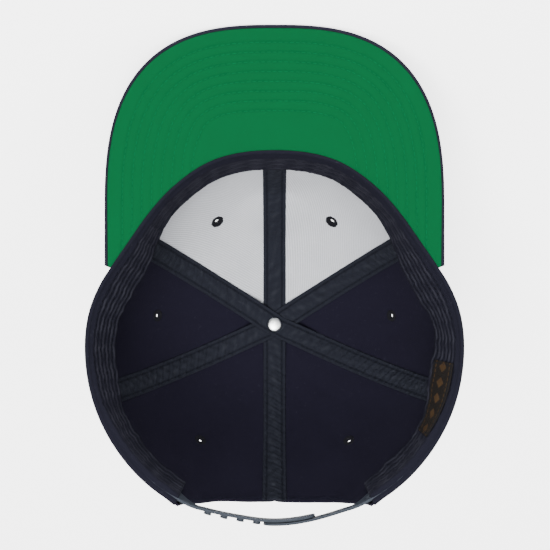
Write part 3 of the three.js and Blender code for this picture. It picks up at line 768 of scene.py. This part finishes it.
# Arch and hem stitching
# One row follows the hem outside, and one follows the arch's turned edge through the cloth.
hem_stitch_rise = 5 * MM
arch_stitch_rise = 4.5 * MM
hem_turn = np.linspace(-arch_corner + 1, arch_corner - 1, 700)
hem_share = 1 - hem_stitch_rise / length_at(hem_turn)
hem_points = crown_point(hem_turn, hem_share, outside_stitch_depth)
outside_rows["side"].append(stitch_row(hem_points, -inward_normal(hem_turn, hem_share)))
arch_turn = np.linspace(arch_corner + 1.0, 360 - arch_corner - 1.0, 260)
arch_share = arch_end(arch_turn) - arch_stitch_rise / length_at(arch_turn)
for depth, outward in ((outside_stitch_depth, -1), (cloth_thickness, 1)):
    points = crown_point(arch_turn, arch_share, depth)
    outside_rows["back"].append(stitch_row(points, outward * inward_normal(arch_turn, arch_share)))
for owner, node in (("front", "panel_front_left"), ("side", "panel_side_left"), ("back", "panel_back_left")):
    thread_piece(f"topstitch_{owner}", outside_rows[owner], navy_thread, "crown_cloth", node)


# Sweatband
# A long folded strip of twill is sewn to the hem inside and leans into the crown. Six rows of
# stitches run along it and pucker it, and its free edge is wavy. It stops short of the arch.
band_height = 33 * MM
band_thickness = 1.0 * MM
band_end = 150.0
band_clear = 4.7 * MM
band_root_gap = 0.4 * MM
band_fold_depth = -0.35 * MM
band_strap_step = 1.95 * MM
band_puff = 1.0 * MM
band_groove_width = 1.3 * MM
band_lean = [
    (0, 0.150), (20, 0.155), (32, 0.158), (42, 0.170), (50, 0.215), (60, 0.310), (73, 0.385),
    (85, 0.330), (95, 0.270), (104, 0.315), (121, 0.200), (136, 0.130), (180, 0.130),
]
band_rows = np.array([0.14, 0.29, 0.44, 0.59, 0.74, 0.90])


def band_point(direction, drop, depth):
    direction, drop = np.broadcast_arrays(np.asarray(direction, dtype=float), drop)
    stand = band_height * curve_through(band_lean, wrapped(direction))
    at_strap = smooth(wrapped(direction), 0.7 * band_end, 0.86 * band_end)
    root = cloth_thickness + band_root_gap + band_strap_step * at_strap
    folded = np.exp(-(drop * band_height / (0.85 * hem_fold_at(direction))) ** 4)
    root = root - (root - band_fold_depth) * folded
    reach_in = np.maximum(stand - band_thickness, band_clear)
    angle = np.radians(direction)
    wavy = np.sin(11 * angle + 0.7) + 0.7 * np.sin(23 * angle + 2.0) + 0.5 * np.sin(47 * angle)
    wavy = wavy * (0.15 + 0.85 * smooth(wrapped(direction), 45, 70))
    offset = root + (reach_in - root) * drop * (1.3 - 0.3 * drop) + 0.35 * MM * wavy * drop ** 2
    reached = drop * (band_height + 0.35 * MM * wavy * drop)
    return crown_point(direction, 1 - reached / length_at(direction), offset + depth)


def row_sway(direction):
    travel = np.radians(direction) * crown_half_width
    patchy = 0.35 + 0.65 * np.sin(travel * 23 + 0.4) ** 2
    sway = 0.020 * np.sin(travel * 250) + 0.016 * np.sin(travel * 640 + 1)
    return patchy * (sway + 0.009 * np.sin(travel * 1100 + 2))


def from_rows(direction, drop):
    travel = np.radians(direction) * crown_half_width
    return travel, (drop + row_sway(direction))[..., None] - band_rows


def band_detail(direction, drop):
    travel, apart = from_rows(direction, drop)
    away = np.min(np.abs(apart), axis=-1) * band_height
    puff = band_puff * (1 - np.exp(-(away / band_groove_width) ** 2))
    crinkle = 0.5 * np.sin(travel * 1400 + drop * 9) + 0.35 * np.sin(travel * 2250 - drop * 17 + 1)
    crinkle += 0.45 * np.sin(travel * 610 + drop * 23 + 2)
    patchy = 0.5 + 0.5 * np.sin(travel * 46 + 0.4) * np.sin(travel * 17 + 1.1)
    return puff + MM * (0.07 + 0.22 * patchy) * crinkle * np.exp(-(away / (4 * MM)) ** 2)


# The sweatband's crease marks are painted light: painted shade along each row of stitches, and a broken
# painted highlight on the ridge just beside it.
def band_crease(direction, drop):
    travel, apart = from_rows(direction, drop)
    away = np.min(np.abs(apart), axis=-1) * band_height
    beside = np.min(np.abs(apart - 0.045), axis=-1) * band_height
    broken = 0.55 + 0.45 * np.sin(travel * 390 + drop * 31) * np.sin(travel * 97 + drop * 12)
    return broken * np.exp(-(beside / (0.55 * MM)) ** 2) - np.exp(-(away / (0.5 * MM)) ** 2)


band_turn = np.linspace(-band_end, band_end, 620)[:, None]
band_drop = np.linspace(0, 1, 60)[None, :] + 0 * band_turn
band_turn = band_turn + 0 * band_drop
outer = band_point(band_turn, band_drop, 0)
inner = band_point(band_turn, band_drop, band_thickness + band_detail(band_turn, band_drop))
cloth = np.stack([np.radians(band_turn) * crown_half_width, band_drop * band_height], -1)
sheet = closed_sheet(outer, inner, cloth, 0.5 * band_thickness)
marks = sheet_marks(band_crease(band_turn, band_drop))
piece = new_piece("folded_sweatband", *sheet, band_cloth, crease=marks)
declare(piece, "sweatband_cloth", "sweatband")

rows = []
row_turn = np.linspace(-band_end + 0.6, band_end - 0.6, 900)
for drop in band_rows:
    row_drop = drop - row_sway(row_turn)
    depth = band_thickness + band_detail(row_turn, row_drop)
    points = band_point(row_turn, row_drop, depth)
    rows.append(stitch_row(points, inward_normal(row_turn, 1 - row_drop * 0.2)))
thread_piece("stitches_sweatband", rows, navy_thread, "sweatband_cloth", "sweatband")


# Label
# A small woven label, black with a plain gold border and diamonds, sewn to the sweatband's inner
# face on the right.
label_turn = (100.3, 124.7)
label_drop = (4.2 * MM, 28.6 * MM)
label_thickness = 0.45 * MM
label_lift = 0.75 * MM

across = np.linspace(label_turn[0], label_turn[1], 44)[:, None]
down = np.linspace(label_drop[0], label_drop[1], 30)[None, :] / band_height + 0 * across
across = across + 0 * down
label_back = band_thickness + label_lift
back = band_point(across, down, label_back)
front = band_point(across, down, label_back + label_thickness)
label_length = math.radians(label_turn[1] - label_turn[0]) * crown_half_width
label_width = label_drop[1] - label_drop[0]
run_across = np.radians(across - label_turn[0]) * crown_half_width
cloth = np.stack([run_across, down * band_height - label_drop[0]], -1)

woven_label, tree, shader, place, cloth_place = new_material("woven_label", 0.8, specular=0.12)
split = tree.nodes.new("ShaderNodeSeparateXYZ")
tree.links.new(cloth_place, split.inputs[0])


def from_middle(value, pitch, size):
    wrapped_value = math_node(tree, "WRAP", value, pitch / 2)
    wrapped_value.node.inputs[2].default_value = -pitch / 2
    return math_node(tree, "DIVIDE", math_node(tree, "ABSOLUTE", wrapped_value), size)


mid_across = math_node(tree, "SUBTRACT", split.outputs[0], label_length / 2)
mid_down = math_node(tree, "SUBTRACT", split.outputs[1], label_width / 2)
diamond = math_node(
    tree, "ADD", from_middle(mid_across, 9 * MM, 3.2 * MM),
    math_node(tree, "DIVIDE", math_node(tree, "ABSOLUTE", mid_down), 4.6 * MM),
)
in_diamond = math_node(tree, "LESS_THAN", diamond, 1.0)
dash = math_node(tree, "LESS_THAN", from_middle(mid_across, 3 * MM, 1.0 * MM), 1.0)
from_centre = math_node(tree, "ABSOLUTE", mid_down)
line_away = math_node(tree, "ABSOLUTE", math_node(tree, "SUBTRACT", from_centre, 8.6 * MM))
on_line = math_node(tree, "LESS_THAN", line_away, 0.55 * MM)
gold_share = math_node(tree, "MAXIMUM", in_diamond, math_node(tree, "MULTIPLY", dash, on_line))
weave = group_node(tree, weave_group, Cloth=cloth_place, Threads_per_metre=2200.0, Diagonal=0.0)
black_thread = mix_colour(tree, weave.outputs["Tone"], (0.0035, 0.0030, 0.0026), (0.012, 0.0095, 0.008))
gold_thread = mix_colour(tree, weave.outputs["Tone"], (0.024, 0.0125, 0.0055), (0.060, 0.033, 0.013))
tree.links.new(mix_colour(tree, gold_share, black_thread, gold_thread), shader.inputs["Base Color"])
bump(tree, shader, weave.outputs["Height"], 0.0001, 0.8)

piece = new_piece("woven_label", *closed_sheet(back, front, cloth, 0.4 * label_thickness), woven_label)
declare(piece, "label_weave", "label")

corner_turn = np.array([label_turn[k] for k in (0, 1, 1, 0, 0)])
corner_drop = np.array([label_drop[k] for k in (0, 0, 1, 1, 0)]) / band_height
inset_turn, inset_drop = 0.75, 1.1 * MM / band_height
corner_turn = corner_turn + inset_turn * np.array([1, -1, -1, 1, 1])
corner_drop = corner_drop + inset_drop * np.array([1, 1, -1, -1, 1])
row_at = np.linspace(0, 4, 160)
row_turn = np.interp(row_at, np.arange(5), corner_turn)
row_drop = np.interp(row_at, np.arange(5), corner_drop)
points = band_point(row_turn, row_drop, label_back + label_thickness)
row = stitch_row(points, inward_normal(row_turn, 1 - 0.2 * row_drop), length=1.7 * MM, radius=0.13 * MM)
thread_piece("stitches_label", [row], navy_thread, "label_weave", "label")


# Visor cover
# A flat stiff board is covered in the crown's navy twill, which rolls round the outer edge and
# leaves a narrow navy rim beside the green underside.
visor_length = 66.1 * MM
visor_half_width = 88.8 * MM
visor_widest = 62.5 * MM
visor_squareness = 2.75
visor_thickness = 3.6 * MM
visor_end_angle = 69.0
visor_end_width = 3.5 * MM
visor_rim = 1.9 * MM
sheet_seat = 1.4 * MM
underside_level = rim_height - 0.5 * MM
cover_level = underside_level - visor_thickness
neck_gap = 0.3 * MM
visor_tip = crown_half_width * hem_outline[0][1] + visor_length
visor_stations = np.linspace(-visor_end_angle, visor_end_angle, 231)


def visor_reach(direction):
    across = np.abs(np.sin(np.radians(direction)))
    ahead = np.cos(np.radians(direction))
    low, high = np.zeros(direction.shape), np.full(direction.shape, 2 * visor_tip)
    for _ in range(40):
        middle = (low + high) / 2
        x = middle * across / visor_half_width
        y = np.maximum(0, middle * ahead - visor_widest) / (visor_tip - visor_widest)
        inside = x ** visor_squareness + y ** visor_squareness < 1
        low, high = np.where(inside, middle, low), np.where(inside, high, middle)
    return low


visor_neck = hem_reach(visor_stations) + neck_gap
visor_width = np.maximum(visor_reach(visor_stations) - visor_neck, visor_end_width)


def on_visor(reach, height):
    angle = np.radians(visor_stations)[:, None]
    reach, height = np.broadcast_arrays(reach, height)
    return np.stack([reach * np.sin(angle), reach * np.cos(angle), height], -1)


edge_turn = np.linspace(-math.pi / 2, math.pi / 2, 15)
roll = visor_thickness / 2
roll_out = roll * (np.cos(edge_turn).clip(0) ** 0.8 - 1)
roll_up = underside_level - roll + roll * np.sign(np.sin(edge_turn)) * np.abs(np.sin(edge_turn)) ** 0.8
seat = underside_level - sheet_seat
fill = np.linspace(0, 1, 40)[None, :]
width = visor_width[:, None]
reach_rows = np.concatenate([
    fill[:, :-1] * (width - roll),
    width + roll_out[None, :],
    width - visor_rim + 0 * edge_turn[None, :2],
    fill[:, ::-4] * (width - visor_rim),
], axis=1)
height_rows = np.concatenate([
    np.full(39, cover_level), roll_up, [underside_level - 0.2 * MM, seat], np.full(10, seat),
])
points = on_visor(visor_neck[:, None] + np.maximum(reach_rows, 0), height_rows[None, :])
stations, count = points.shape[:2]
faces = grid_faces(stations, count, around=True)
faces += [list(range(count)), list(range((stations - 1) * count, stations * count))]
uv = points.reshape(-1, 3)[:, :2]
piece = new_piece("covered_visor", points.reshape(-1, 3), faces, uv, crown_cloth, smooth_angle=50)
declare(piece, "crown_cloth", "visor_cover")


# Visor underside
# A green cloth sheet is let into the cover. Eight rows of stitches follow the outer edge and quilt
# it to the board.
row_first = 9.4 * MM
row_pitch = 5.1 * MM
row_count = 8
quilt_depth = 0.30 * MM
quilt_width = 0.75 * MM

green_cloth = cloth_material(
    "green_cloth", (0.0001, 0.053, 0.0145), (0.0002, 0.076, 0.0230), (0.005, 0.14, 0.052),
    threads=1500.0, diagonal=1.0, lint_share=0.22,
)
green_thread = cloth_material(
    "green_thread", (0.0003, 0.064, 0.019), (0.002, 0.120, 0.043), (0.02, 0.18, 0.08), lint_share=0.3,
)

outline_turn = np.linspace(-89, 89, 900)
outline_reach = visor_reach(outline_turn)
outline = np.stack([
    outline_reach * np.sin(np.radians(outline_turn)), outline_reach * np.cos(np.radians(outline_turn)),
], -1)
along = np.gradient(outline, axis=0)
inward_edge = unit(np.stack([along[:, 1], -along[:, 0]], -1))


def edge_distance(points):
    flat = points.reshape(-1, 3)[:, :2]
    nearest = np.full(len(flat), 9.0)
    for start in range(0, len(outline), 100):
        apart = np.linalg.norm(flat[:, None] - outline[None, start:start + 100], axis=-1)
        nearest = np.minimum(nearest, apart.min(axis=1))
    return nearest.reshape(points.shape[:-1])


under_across = np.linspace(0, 1, 128)[None, :]
under_reach = visor_neck[:, None] + under_across * (visor_width[:, None] - visor_rim - 0.12 * MM)
flat_face = on_visor(under_reach, underside_level + 0 * under_reach)
distance = edge_distance(flat_face)
quilting = np.zeros(distance.shape)
for k in range(row_count):
    quilting += np.exp(-((distance - row_first - k * row_pitch) / quilt_width) ** 2)
top_face = flat_face.copy()
top_face[..., 2] -= quilt_depth * quilting
bottom_face = flat_face.copy()
bottom_face[..., 2] = seat + 0.3 * MM
sheet = closed_sheet(bottom_face, top_face, flat_face[..., :2], 0.05 * MM)
piece = new_piece("quilted_underside", *sheet, green_cloth)
declare(piece, "visor_underside_cloth", "visor_underside")

rows = []
for k in range(row_count):
    line = outline + inward_edge * (row_first + k * row_pitch)
    turn = np.degrees(np.arctan2(line[:, 0], line[:, 1]))
    clear = (np.linalg.norm(line, axis=1) > hem_reach(turn) + 1.5 * MM) & (np.abs(turn) < visor_end_angle - 1)
    line = line[clear]
    points = np.concatenate([line, np.full((len(line), 1), underside_level - quilt_depth)], axis=1)
    upright = np.tile([0.0, 0.0, 1.0], (len(line), 1))
    rows.append(stitch_row(points, upright, length=2.0 * MM, gap=1.0 * MM, radius=0.2 * MM))
thread_piece("stitches_underside", rows, green_thread, "visor_underside_cloth", "visor_underside")


# Snap strap
# Two slate plastic strips come out of the hem on each side of the arch and lie over each other. Pegs
# moulded on the inner strip go through holes of the outer strip, three of them at this size.
strap_height = 20 * MM
strap_thickness = 1.5 * MM
strap_depth = cloth_thickness + 0.6 * MM
strap_top = rim_height - 1 * MM
strap_tuck = 23 * MM
strap_tip_past = 5.7 * MM
strap_play = 0.3 * MM
snap_pitch = 8.8 * MM
snap_margin = 5 * MM
snap_count = 7
snaps_fastened = 3
peg_radius = 2 * MM
strap_flare = 0.09
strap_bow = 1.5 * MM
strap_corner = 5 * MM
snap_hole_radius = 2.3 * MM
degrees_per_length = math.degrees(1 / hem_reach(180))
arch_angle = 180 - math.degrees(math.asin(arch_half_width / hem_reach(150)))
root_angle = arch_angle - strap_tuck * degrees_per_length
outer_tip = 180 + strap_tip_past * degrees_per_length
inner_tip = outer_tip - (2 * snap_margin + (snaps_fastened - 1) * snap_pitch) * degrees_per_length


def reach_at_height(direction, height):
    rows_at = wrapped(direction) * direction_steps / 180
    low = np.minimum(rows_at.astype(int), direction_steps - 1)
    part = rows_at - low
    found = np.zeros(direction.shape)
    for k in np.ndindex(direction.shape):
        near = np.interp(height[k], form_height[low[k]], form_reach[low[k]])
        far = np.interp(height[k], form_height[low[k] + 1], form_reach[low[k] + 1])
        found[k] = near * (1 - part[k]) + far * part[k]
    return found


def hem_point(direction):
    angle, reach = np.radians(direction), hem_reach(direction)
    return np.stack([reach * np.sin(angle), reach * np.cos(angle), 0 * reach], -1)


def hem_inward(direction):
    along = unit(hem_point(direction + 1) - hem_point(direction - 1))
    return np.stack([along[..., 1], -along[..., 0], 0 * along[..., 0]], -1)


def strip_point(direction, depth, drop):
    direction, depth, drop = np.broadcast_arrays(np.asarray(direction, dtype=float), depth, drop)
    height = strap_top - drop
    free = smooth(np.minimum(direction, 360 - direction), arch_angle - 4, arch_angle + 6)
    drawn_in = hem_reach(direction) - reach_at_height(direction, height)
    inset = depth + drawn_in * (1 - free) - (strap_flare * drop + strap_bow) * free
    place = hem_point(direction) + hem_inward(direction) * inset[..., None]
    place[..., 2] = height
    return place


def inner_strip_depth(direction):
    past = (direction - outer_tip) / (360 - root_angle - outer_tip)
    beside = 1 - smooth(past, 0.1, 0.6)
    return strap_depth + (strap_thickness + strap_play) * beside


def outer_strip_depth(direction):
    return strap_depth + 0 * direction


def strip_sheet(tip, root, depth_at):
    along = np.linspace(0, 1, 110)[:, None]
    direction = tip + (root - tip) * along
    from_tip = np.abs(direction - tip) / degrees_per_length
    into_corner = np.maximum(0, strap_corner - from_tip)
    short = strap_corner - np.sqrt(np.maximum(0, strap_corner ** 2 - into_corner ** 2))
    half = strap_height / 2 - short
    drop = strap_height / 2 + half * np.linspace(-1, 1, 15)[None, :]
    depth = depth_at(direction) + 0 * drop
    outer = strip_point(direction, depth + 0.1 * MM, drop)
    inner = strip_point(direction, depth + strap_thickness - 0.1 * MM, drop)
    cloth = np.stack([from_tip + 0 * drop, drop], -1)
    return closed_sheet(outer, inner, cloth, 0.35 * MM)


strap_plastic, tree, shader, place, cloth_place = new_material("strap_plastic", 0.55, specular=0.2)
mottle = group_node(tree, mottle_group, Place=place, Blotch_size=60.0)
moulded = mix_colour(tree, mottle.outputs["Blotch"], (0.018, 0.023, 0.032), (0.027, 0.033, 0.043))
scuffed = mix_colour(tree, mottle.outputs["Lint"], moulded, (0.05, 0.056, 0.068))
tree.links.new(scuffed, shader.inputs["Base Color"])
bump(tree, shader, noise_node(tree, place, 700.0, 4.0), 0.00008, 0.5)


def turned(profile, count, wobble=None, looped=False):
    profile = np.asarray(profile, dtype=float)
    turn = np.arange(count) / count * 2 * math.pi
    reach = profile[:, :1] + (0 * turn if wobble is None else wobble(profile, turn))
    points = np.stack([reach * np.cos(turn), reach * np.sin(turn), profile[:, 1:] + 0 * turn], -1)
    rows = len(profile)
    faces = grid_faces(rows, count, around=True, looped=looped)
    if not looped:
        faces += [list(range(count)), list(range((rows - 1) * count, rows * count))]
    return points.reshape(-1, 3), faces


def turned_to(points, centre, axis):
    axis = unit(np.asarray(axis, dtype=float))
    aside = unit(np.cross(axis, [0.3, 0.2, 0.9] if abs(axis[2]) < 0.9 else [1.0, 0.0, 0.0]))
    return centre + points @ np.stack([aside, np.cross(axis, aside), axis])


def cut_through(piece, parts, name):
    points, faces = joined(parts)
    cutter = new_piece(name, points, faces, points[:, :2], piece.data.materials[0])
    cutting = piece.modifiers.new("holes", "BOOLEAN")
    cutting.operation = "DIFFERENCE"
    cutting.solver = "MANIFOLD"
    cutting.object = cutter
    graph = bpy.context.evaluated_depsgraph_get()
    cut_mesh = bpy.data.meshes.new_from_object(piece.evaluated_get(graph))
    piece.modifiers.clear()
    piece.data = cut_mesh
    bpy.data.objects.remove(cutter)


peg_profile = [
    (0.9, 0.1), (peg_radius / MM, 0.0), (peg_radius / MM, -1.3), (2.08, -1.5), (1.98, -1.7),
    (1.4, -1.8), (0.3, -1.82),
]
strip_points, strip_faces, strip_uv = strip_sheet(inner_tip, 360 - root_angle, inner_strip_depth)
pegs, drills = [], []
for k in range(snap_count):
    along = (snap_margin + k * snap_pitch) * degrees_per_length
    peg_at = np.array(inner_tip + along)
    face = inner_strip_depth(peg_at)
    centre = strip_point(peg_at, face + 0.1 * MM, strap_height / 2)
    points, faces = turned(np.array(peg_profile) * MM, 24)
    pegs.append((turned_to(points, centre, hem_inward(peg_at)), faces))
    hole_at = np.array(outer_tip - along)
    middle = strip_point(hole_at, strap_depth + strap_thickness / 2, strap_height / 2)
    drill = [(snap_hole_radius, -2 * MM), (snap_hole_radius, 2 * MM)]
    points, faces = turned(drill, 28)
    drills.append((turned_to(points, middle, hem_inward(hole_at)), faces))
points, faces = joined([(strip_points, strip_faces)] + pegs)
uv = np.concatenate([strip_uv] + [part[0][:, :2] for part in pegs])
piece = new_piece("moulded_strap_with_pegs", points, faces, uv, strap_plastic, smooth_angle=40)
declare(piece, "strap_plastic", "strap_with_pegs")

sheet = strip_sheet(outer_tip, root_angle, outer_strip_depth)
piece = new_piece("moulded_strap_with_holes", *sheet, strap_plastic, smooth_angle=40)
cut_through(piece, drills, "snap_drills")
declare(piece, "strap_plastic", "strap_with_holes")


# Button
# A metal cap under the crown cloth, drawn in below into small pleats. It sits outside, where the six
# panels meet.
dome = []
for part in np.linspace(0, 1, 22):
    lifted = math.sin(part * math.pi / 2) ** 0.85
    reach = button_radius * max(0.02, math.cos(part * math.pi / 2) ** 0.55)
    dome.append((reach, -button_gap - 0.22 * button_height - 0.76 * button_height * lifted))
under = [
    (0.3 * MM, -button_gap),
    (0.86 * button_radius, -button_gap),
    (0.97 * button_radius, -button_gap - 0.5 * MM),
]


def pleats(profile, turn):
    low = 1 - smooth(-profile[:, 1:], button_gap, 0.45 * button_height)
    wide = smooth(profile[:, :1], 0.5 * button_radius, 0.9 * button_radius)
    return -0.22 * MM * low * wide * (0.5 + 0.5 * np.cos(18 * turn + 0.6 * np.sin(5 * turn)))


points, faces = turned(under + dome, 96, wobble=pleats)
piece = new_piece("covered_button", points, faces, points[:, :2] * 1.1, crown_cloth)
declare(piece, "crown_cloth", "button")


# Rivet
# The button's rivet head inside the crown, on the three tapes. It is plain bright metal with fine
# turning marks and scratches.
rivet_seat = 5.75 * MM
rivet_profile = [
    (1.5, 0.0), (1.5, rivet_seat / MM - 0.1), (3.7, rivet_seat / MM - 0.1), (4.02, rivet_seat / MM + 0.05),
    (4.1, rivet_seat / MM + 0.3), (4.0, rivet_seat / MM + 0.6), (3.7, rivet_seat / MM + 0.86),
    (3.2, rivet_seat / MM + 1.05), (2.4, rivet_seat / MM + 1.22), (1.5, rivet_seat / MM + 1.32),
    (0.7, rivet_seat / MM + 1.37), (0.1, rivet_seat / MM + 1.38),
]

rivet_metal, tree, shader, place, cloth_place = new_material("rivet_metal", 0.34, metallic=1.0)
scratches = noise_node(tree, place, 900.0, 6.0, 0.7)
bright = mix_colour(tree, scratches, (0.62, 0.64, 0.64), (0.86, 0.88, 0.88))
tree.links.new(bright, shader.inputs["Base Color"])
rings = tree.nodes.new("ShaderNodeTexWave")
rings.wave_type = "RINGS"
rings.rings_direction = "SPHERICAL"
rings.inputs["Scale"].default_value = 900.0
rings.inputs["Distortion"].default_value = 1.5
tree.links.new(cloth_place, rings.inputs["Vector"])
marked = math_node(tree, "ADD", math_node(tree, "MULTIPLY", rings.outputs["Fac"], 0.5), scratches)
bump(tree, shader, marked, 0.00003, 0.35)

points, faces = turned(np.array(rivet_profile) * MM, 72)
piece = new_piece("metal_rivet", points, faces, points[:, :2], rivet_metal, smooth_angle=38)
declare(piece, "rivet_metal", "rivet")


# Eyelets
# Six air holes, one in each panel, bound with black thread on both faces of the cloth. The
# thread lies in close turns that run from the hole outwards.
eyelet_turns = 30
eyelet_drill_radius = 2.1 * MM
eyelet_rise = 0.5 * MM
eyelet_waist = 0.9 * MM
eyelet_rows = [
    ("front", 29.0, 0.44, True, 4.2 * MM, 1.5 * MM),
    ("side", 85.0, 0.43, False, 3.6 * MM, 1.05 * MM),
    ("back", 147.0, 0.505, False, 3.6 * MM, 1.05 * MM),
]

eyelet_thread = cloth_material(
    "eyelet_thread", (0.0030, 0.0030, 0.0045), (0.014, 0.014, 0.018), (0.05, 0.05, 0.06),
    threads=2600.0, diagonal=0.2, lint_share=0.4,
)


def bound_thread(profile, turn):
    twist = np.abs(np.cos(turn * eyelet_turns / 2 + 0.2 * np.sin(3 * turn)))
    uneven = 0.10 * np.sin(7 * turn + 1) + 0.07 * np.sin(13 * turn)
    outward = smooth(profile[:, :1], 1.4 * MM, 3.0 * MM)
    return MM * (outward * (0.30 * twist + uneven) - 0.18)


for panel_name, direction, share, lined, eyelet_radius, eyelet_hole in eyelet_rows:
    stack = lining_depth + lining_thickness if lined else cloth_thickness
    ring = np.linspace(0, 2 * math.pi, 30)[:-1]
    middle_reach = (eyelet_hole + eyelet_radius) / 2
    half_reach = (eyelet_radius - eyelet_hole) / 2
    half_height = stack / 2 + eyelet_rise
    across = middle_reach + half_reach * np.sign(np.cos(ring)) * np.abs(np.cos(ring)) ** 0.68
    raised = stack / 2 + half_height * np.sin(ring)
    waist = np.exp(-((raised - stack / 2) / (0.36 * stack)) ** 2) * (across > middle_reach)
    across = across - waist * eyelet_waist
    for side_name, side in sides.items():
        at, down = np.array(side * direction), np.array(share)
        centre = crown_point(at, down, 0.0)
        axis = inward_normal(at, down)
        drill = [(eyelet_drill_radius, -3 * MM), (eyelet_drill_radius, 5 * MM)]
        points, faces = turned(drill, 27)
        drilled = (turned_to(points, centre, axis), faces)
        cut_through(crown_panels[panel_name, side_name], [drilled], "eyelet_drill")
        if lined:
            cut_through(lining_pieces[side_name], [drilled], "lining_drill")
        points, faces = turned(np.stack([across, raised], -1), 150, wobble=bound_thread, looped=True)
        uv = points[:, :2]
        placed = turned_to(points, centre, axis)
        piece = new_piece(f"bound_eyelet_{panel_name}_{side_name}", placed, faces, uv, eyelet_thread)
        declare(piece, "eyelet_thread", f"eyelet_{panel_name}_{side_name}")


# Floor and light
# A plain pale floor that gives off light, a soft light over the visor and a little to the left,
# weak ones from the right and from the strap's side, and an even white surround.
floor_glow = 2.8
surround_strength = 1.0
light_aim = (0, 0, 0.08)

floor_material, tree, shader, place, cloth_place = new_material("floor_paint", 0.85, specular=0.2)
speckle = noise_node(tree, place, 60.0, 6.0)
tree.links.new(mix_colour(tree, speckle, (0.90, 0.90, 0.90), (0.94, 0.94, 0.94)), shader.inputs["Base Color"])
shader.inputs["Emission Color"].default_value = (1, 1, 1, 1)
shader.inputs["Emission Strength"].default_value = floor_glow
bump(tree, shader, speckle, 0.0002, 0.2)
floor_mesh = bpy.data.meshes.new("floor")
floor_mesh.from_pydata([(-4, -4, 0), (4, -4, 0), (4, 4, 0), (-4, 4, 0)], [], [(0, 1, 2, 3)])
floor_mesh.materials.append(floor_material)
floor = bpy.data.objects.new("floor", floor_mesh)
bpy.context.collection.objects.link(floor)

world = bpy.data.worlds.new("surround")
bpy.context.scene.world = world
world.use_nodes = True
world.node_tree.nodes["Background"].inputs["Color"].default_value = (1, 1, 1, 1)
world.node_tree.nodes["Background"].inputs["Strength"].default_value = surround_strength


def soft_light(name, place, size, power):
    data = bpy.data.lights.new(name, "AREA")
    data.shape = "DISK"
    data.size = size
    data.energy = power
    lamp = bpy.data.objects.new(name, data)
    lamp.location = place
    lamp.rotation_euler = (Vector(light_aim) - Vector(place)).to_track_quat("-Z", "Y").to_euler()
    bpy.context.collection.objects.link(lamp)


soft_light("key_light", (-0.25, 0.75, 1.55), 1.0, 54)
soft_light("fill_light", (1.2, 0.7, 1.2), 1.2, 8)
soft_light("back_light", (-0.4, -1.3, 1.5), 1.2, 10)
